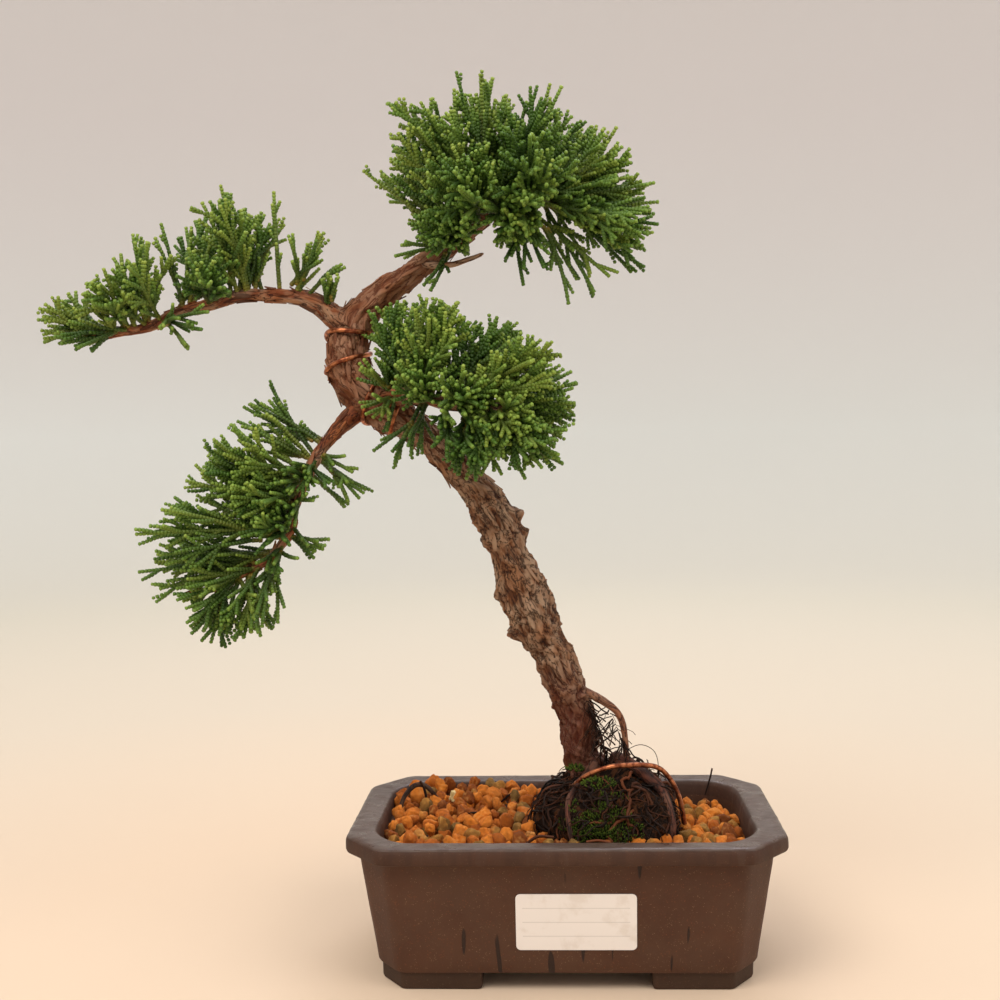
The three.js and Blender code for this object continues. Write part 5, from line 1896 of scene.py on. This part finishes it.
@dataclass
class Foliage:
    """Scale-leaf shoots that fork again and again in each spray."""

    pitch: float = 1.2
    girth: float = 0.88
    woody: float = 0.16
    fork_gap: float = 2.6
    shortest_forked: float = 4.6
    forms: dict[Habit, Form] = field(default_factory=lambda: {
        Habit.DENSE: Form(leaders=12, gap=3.1, angle=0.52, side=9.5, forks=0.62),
        Habit.AIRY: Form(leaders=8, gap=3.6, angle=0.58, side=9.5, forks=0.6),
        Habit.SLENDER: Form(leaders=9, gap=5.0, angle=0.48, side=12.5, forks=0.3),
        Habit.TRAILING: Form(leaders=4, gap=7.0, angle=0.42, side=9.0, forks=0.22),
        Habit.LONE: Form(leaders=1, gap=9.0, angle=0.5, side=7.5, forks=0.1),
    })
    wood: list[list[Vector]] = field(default_factory=list)

    def scale_pair(self) -> Mesh:
        """Two scale leaves that clasp the shoot, for one step of it."""
        sides = 6
        long = self.pitch * 1.15
        rows = ((0.0, 0.80, 0.80), (0.78, 1.0, 0.9))
        points: list[Point] = [(0, 0, -0.12 * long)]
        turns, rings = [0.0], [0.0]
        for share, wide, narrow in rows:
            for s, a in enumerate(angles(sides)):
                leaf = abs(math.cos(a)) ** 2
                reach = lerp(narrow, wide, leaf)
                up = (share + (0.12 * leaf if share > 0.5 else 0.0)) * long
                points.append((reach * math.cos(a), reach * math.sin(a), up))
                turns.append(s / sides)
                rings.append(share)
        points.append((0, 0, long * 1.2))
        turns.append(0.5)
        rings.append(0.8)
        faces = []
        last = 1 + (len(rows) - 1) * sides
        for s in range(sides):
            after = (s + 1) % sides
            faces.append([0, 1 + after, 1 + s])
            faces.append([1 + s, 1 + after, last + after, last + s])
            faces.append([last + s, last + after, len(points) - 1])
        mesh = mesh_of("scale_pair", points, faces, origin=(0, 0, 0))
        store(mesh, "turn", turns)
        store(mesh, "ring", rings)
        return mesh

    def shoot(self, lines: Polylines, pick: random.Random, start: Vector, heading: Vector,
              length: float, follow: Vector, order: int, age: float, shade: float, form: Form) -> None:
        """Grows one side shoot and, from it, shorter forks.

        Args:
            lines: Where the shoot is added.
            pick: The spray's own random numbers.
            start: Where the shoot leaves its parent.
            heading: Its first direction.
            length: Its length.
            follow: The direction that it bends towards.
            order: 1 for a side shoot of a leader, 2 for a fork of one.
            age: How far its base is from old wood, from 0 to 1.
            shade: Its own shade of green, from 0 to 1.
            form: How the spray branches.
        """
        count = max(3, int(length / self.pitch) + 1)
        step = length / (count - 1)
        way = unit(heading)
        line, tangents = [start], [way]
        sway = toss(pick) * 0.02
        for _ in range(count - 1):
            way = unit(way + (follow * 0.045 + sway) * step)
            line.append(line[-1] + way * step)
            tangents.append(way)
        shares = [i / (count - 1) for i in range(count)]
        # Painted light: tips that point up end lighter and limier, tips that point down darker.
        sun = 0.5 + 0.5 * way.z
        tip_age_and_light = min(0.95, max(0.5, lerp(0.62, 0.95, sun) + pick.uniform(-0.09, 0.07)))
        base = self.girth * (1.0, 0.98, 0.94)[order] * pick.uniform(0.94, 1.04)
        lines.add(
            line,
            girth=[base * (1 - 0.16 * t**4) for t in shares],
            age=[lerp(age, tip_age_and_light, t**1.8) for t in shares],
            shade=shade,
        )
        if order >= 2 or length < self.shortest_forked:
            return
        face = unit(way.orthogonal())
        face = unit(blend(face, way.cross(face), 6.28 * shade))
        side = 1 if pick.random() < 0.5 else -1
        along = pick.uniform(1.8, 3.2)
        while along < length - 2.4:
            share = along / length
            at = min(count - 2, int(share * (count - 1)))
            here = line[at].lerp(line[at + 1], share * (count - 1) - at)
            forward = tangents[at]
            out = unit(face - forward * face.dot(forward)) * side
            opened = form.angle * pick.uniform(0.8, 1.15)
            turn = blend(forward, out, opened)
            reach = min(0.62 * form.side, 0.85 * (length - along) + 1.0) * pick.uniform(0.75, 1.1)
            if pick.random() < form.forks:
                own = min(0.92, max(0.02, shade + pick.gauss(0, 0.06)))
                self.shoot(lines, pick, here, turn, reach, forward, order + 1,
                           lerp(age, tip_age_and_light, share**1.8), own, form)
            side = -side
            along += self.fork_gap * pick.uniform(0.85, 1.25)

    def leader(self, lines: Polylines, pick: random.Random, route: Sequence[Vector], reach: float,
               first_age: float, shade: float, form: Form) -> None:
        """Adds a leading shoot along a route, with its side shoots.

        Args:
            lines: Where the shoots are added.
            pick: The spray's own random numbers.
            route: The leader's points, a step apart.
            reach: The length of its longest side shoots.
            first_age: Age at its base, 0 for old wood.
            shade: Its shade of green.
            form: How the spray branches.
        """
        count = len(route) - 1
        length = (route[1] - route[0]).length * count
        last_way = unit(route[-1] - route[-2])
        # Painted light: the leader's tip is lighter the more it points up.
        tip_age_and_light = lerp(0.66, 0.95, 0.5 + 0.5 * last_way.z)
        ages_and_light = []
        for i in range(count + 1):
            t = i / count
            young = lerp(0.26, tip_age_and_light, max(0.0, (t - self.woody) / (1 - self.woody)) ** 2.2)
            ages_and_light.append(lerp(first_age, 0.26, t / self.woody) if t < self.woody else young)
        lines.add(route, girth=[self.girth * (1.1 - 0.22 * i / count) for i in range(count + 1)],
                  age=ages_and_light, shade=shade)
        along = 0.1 * length + pick.uniform(0.0, form.gap)
        face = unit(unit(route[-1] - route[0]).orthogonal())
        turn = pick.uniform(0, 2 * math.pi)
        while along < length - 1.6:
            share = along / length
            at = min(count - 1, int(share * count))
            forward = unit(route[at + 1] - route[at])
            across = unit(face - forward * face.dot(forward))
            turn += math.pi + pick.uniform(-0.8, 0.8)
            out = blend(across, forward.cross(across), turn)
            heading = blend(forward, out, form.angle * pick.uniform(0.85, 1.25))
            long = min(reach * (1.05 - 0.3 * share), 0.85 * (length - along) + 2.8)
            long *= pick.uniform(0.8, 1.12)
            own = min(0.92, max(0.02, shade + pick.gauss(0, 0.12)))
            age = min(0.55, ages_and_light[at] + 0.04)
            self.shoot(lines, pick, route[at], heading, long, forward, 1, age, own, form)
            along += form.gap * pick.uniform(0.85, 1.15)

    def twig_spot(self, near: Vector, slide: float) -> Vector:
        """The place on the wood nearest to a point, moved along it by a distance."""
        best = None
        for line in self.wood:
            at = min(range(len(line)), key=lambda i: (line[i] - near).length_squared)
            gap = (line[at] - near).length
            if best is None or gap < best[0]:
                best = (gap, line[max(0, min(len(line) - 1, at + int(slide)))])
        return best[1]

    def fan(self, lines: Polylines, spray: Spray, pick: random.Random) -> None:
        """Adds one group of shoots: a main leader, and others that fan out round it."""
        form = self.forms[spray.habit]
        root, tip = Vector(spray.root), Vector(spray.tip)
        length = (tip - root).length
        axis = unit(tip - root)
        side = unit(Vector((0, 1, 0)).cross(axis))
        front = axis.cross(side)
        goals = [tip]
        start_turn = pick.uniform(0, 2 * math.pi)
        for i in range(form.leaders):
            out = math.sqrt((i + 0.7) / form.leaders)
            turn = start_turn + GOLDEN_ANGLE * i
            spread = spray.spread * 0.95 * out
            back = 0.45 * spread * out + (pick.uniform(0.0, 0.16) - pick.gauss(0, 0.07)) * length
            goals.append(tip + blend(side, front, turn) * spread - axis * back)
        shade = pick.uniform(0.3, 0.7)
        bare = self.forms[Habit.LONE]
        for i, goal in enumerate(goals):
            long = i % 4 == 3
            if long:
                goal = goal + unit(goal - root) * pick.uniform(0.04, 0.16) * length
            slide = 0.0 if i == 0 else pick.uniform(-0.8, 0.8) * spray.spread
            start = self.twig_spot(root, slide)
            if i % 2:
                start = start.lerp(root.lerp(tip, pick.uniform(0.0, 0.4)), 0.8)
            middle = start.lerp(goal, 0.5) + (root.lerp(tip, 0.5) - start.lerp(goal, 0.5)) * 0.2
            middle += toss(pick) * 0.045 * length
            run = (goal - start).length
            count = max(4, int(run / self.pitch))
            route = [bend(start, middle, goal, k / count) for k in range(count + 1)]
            own = min(0.9, max(0.05, shade + pick.gauss(0, 0.15)))
            shape = bare if long else form
            reach = max(4.5, min(shape.side, spray.spread))
            self.leader(lines, pick, route, reach, 0.04 if i == 0 else 0.12, own, shape)

    def build(self) -> None:
        """Makes one piece for each spray of the frame."""
        self.wood = [[Vector(p[:3]) for p in through(stops, 1.0)] for stops in Wood.limbs()]
        leaves = ScaleLeaves().material()
        pair = put(self.scale_pair())
        grower = scale_leaf_grower()
        seed = 300
        for pad, sprays in SPRAYS.items():
            for i, spray in enumerate(sprays):
                node = f"{pad}_{i + 1}" if len(sprays) > 1 else pad
                pick = random.Random(seed)
                lines = Polylines()
                for group in (spray, *FILLERS.get(node, ())):
                    self.fan(lines, Spray.of(group), pick)
                values = {"Scale pair": pair, "Pitch": self.pitch * MM, "Seed": seed, "Material": leaves}
                shoots = lines.mesh(f"{node}_shoots")
                hand_over(put(grower.run(f"{node}_leaves", shoots, values)), "foliage", node)
                seed += 1
        bpy.data.objects.remove(pair)


# ---- all together -------------------------------------------------------------------


def main() -> None:
    """Builds the scene in order."""
    Studio().build()
    pot = Pot()
    pot.build()
    SoilBed(pot).build()
    strands = strand_grower()
    RootBall().build(strands)
    Wood().build()
    CopperWires().build(strands)
    Foliage().build()


if __name__ == "__main__":
    logging.basicConfig(level=logging.INFO, format="%(message)s")
    main()
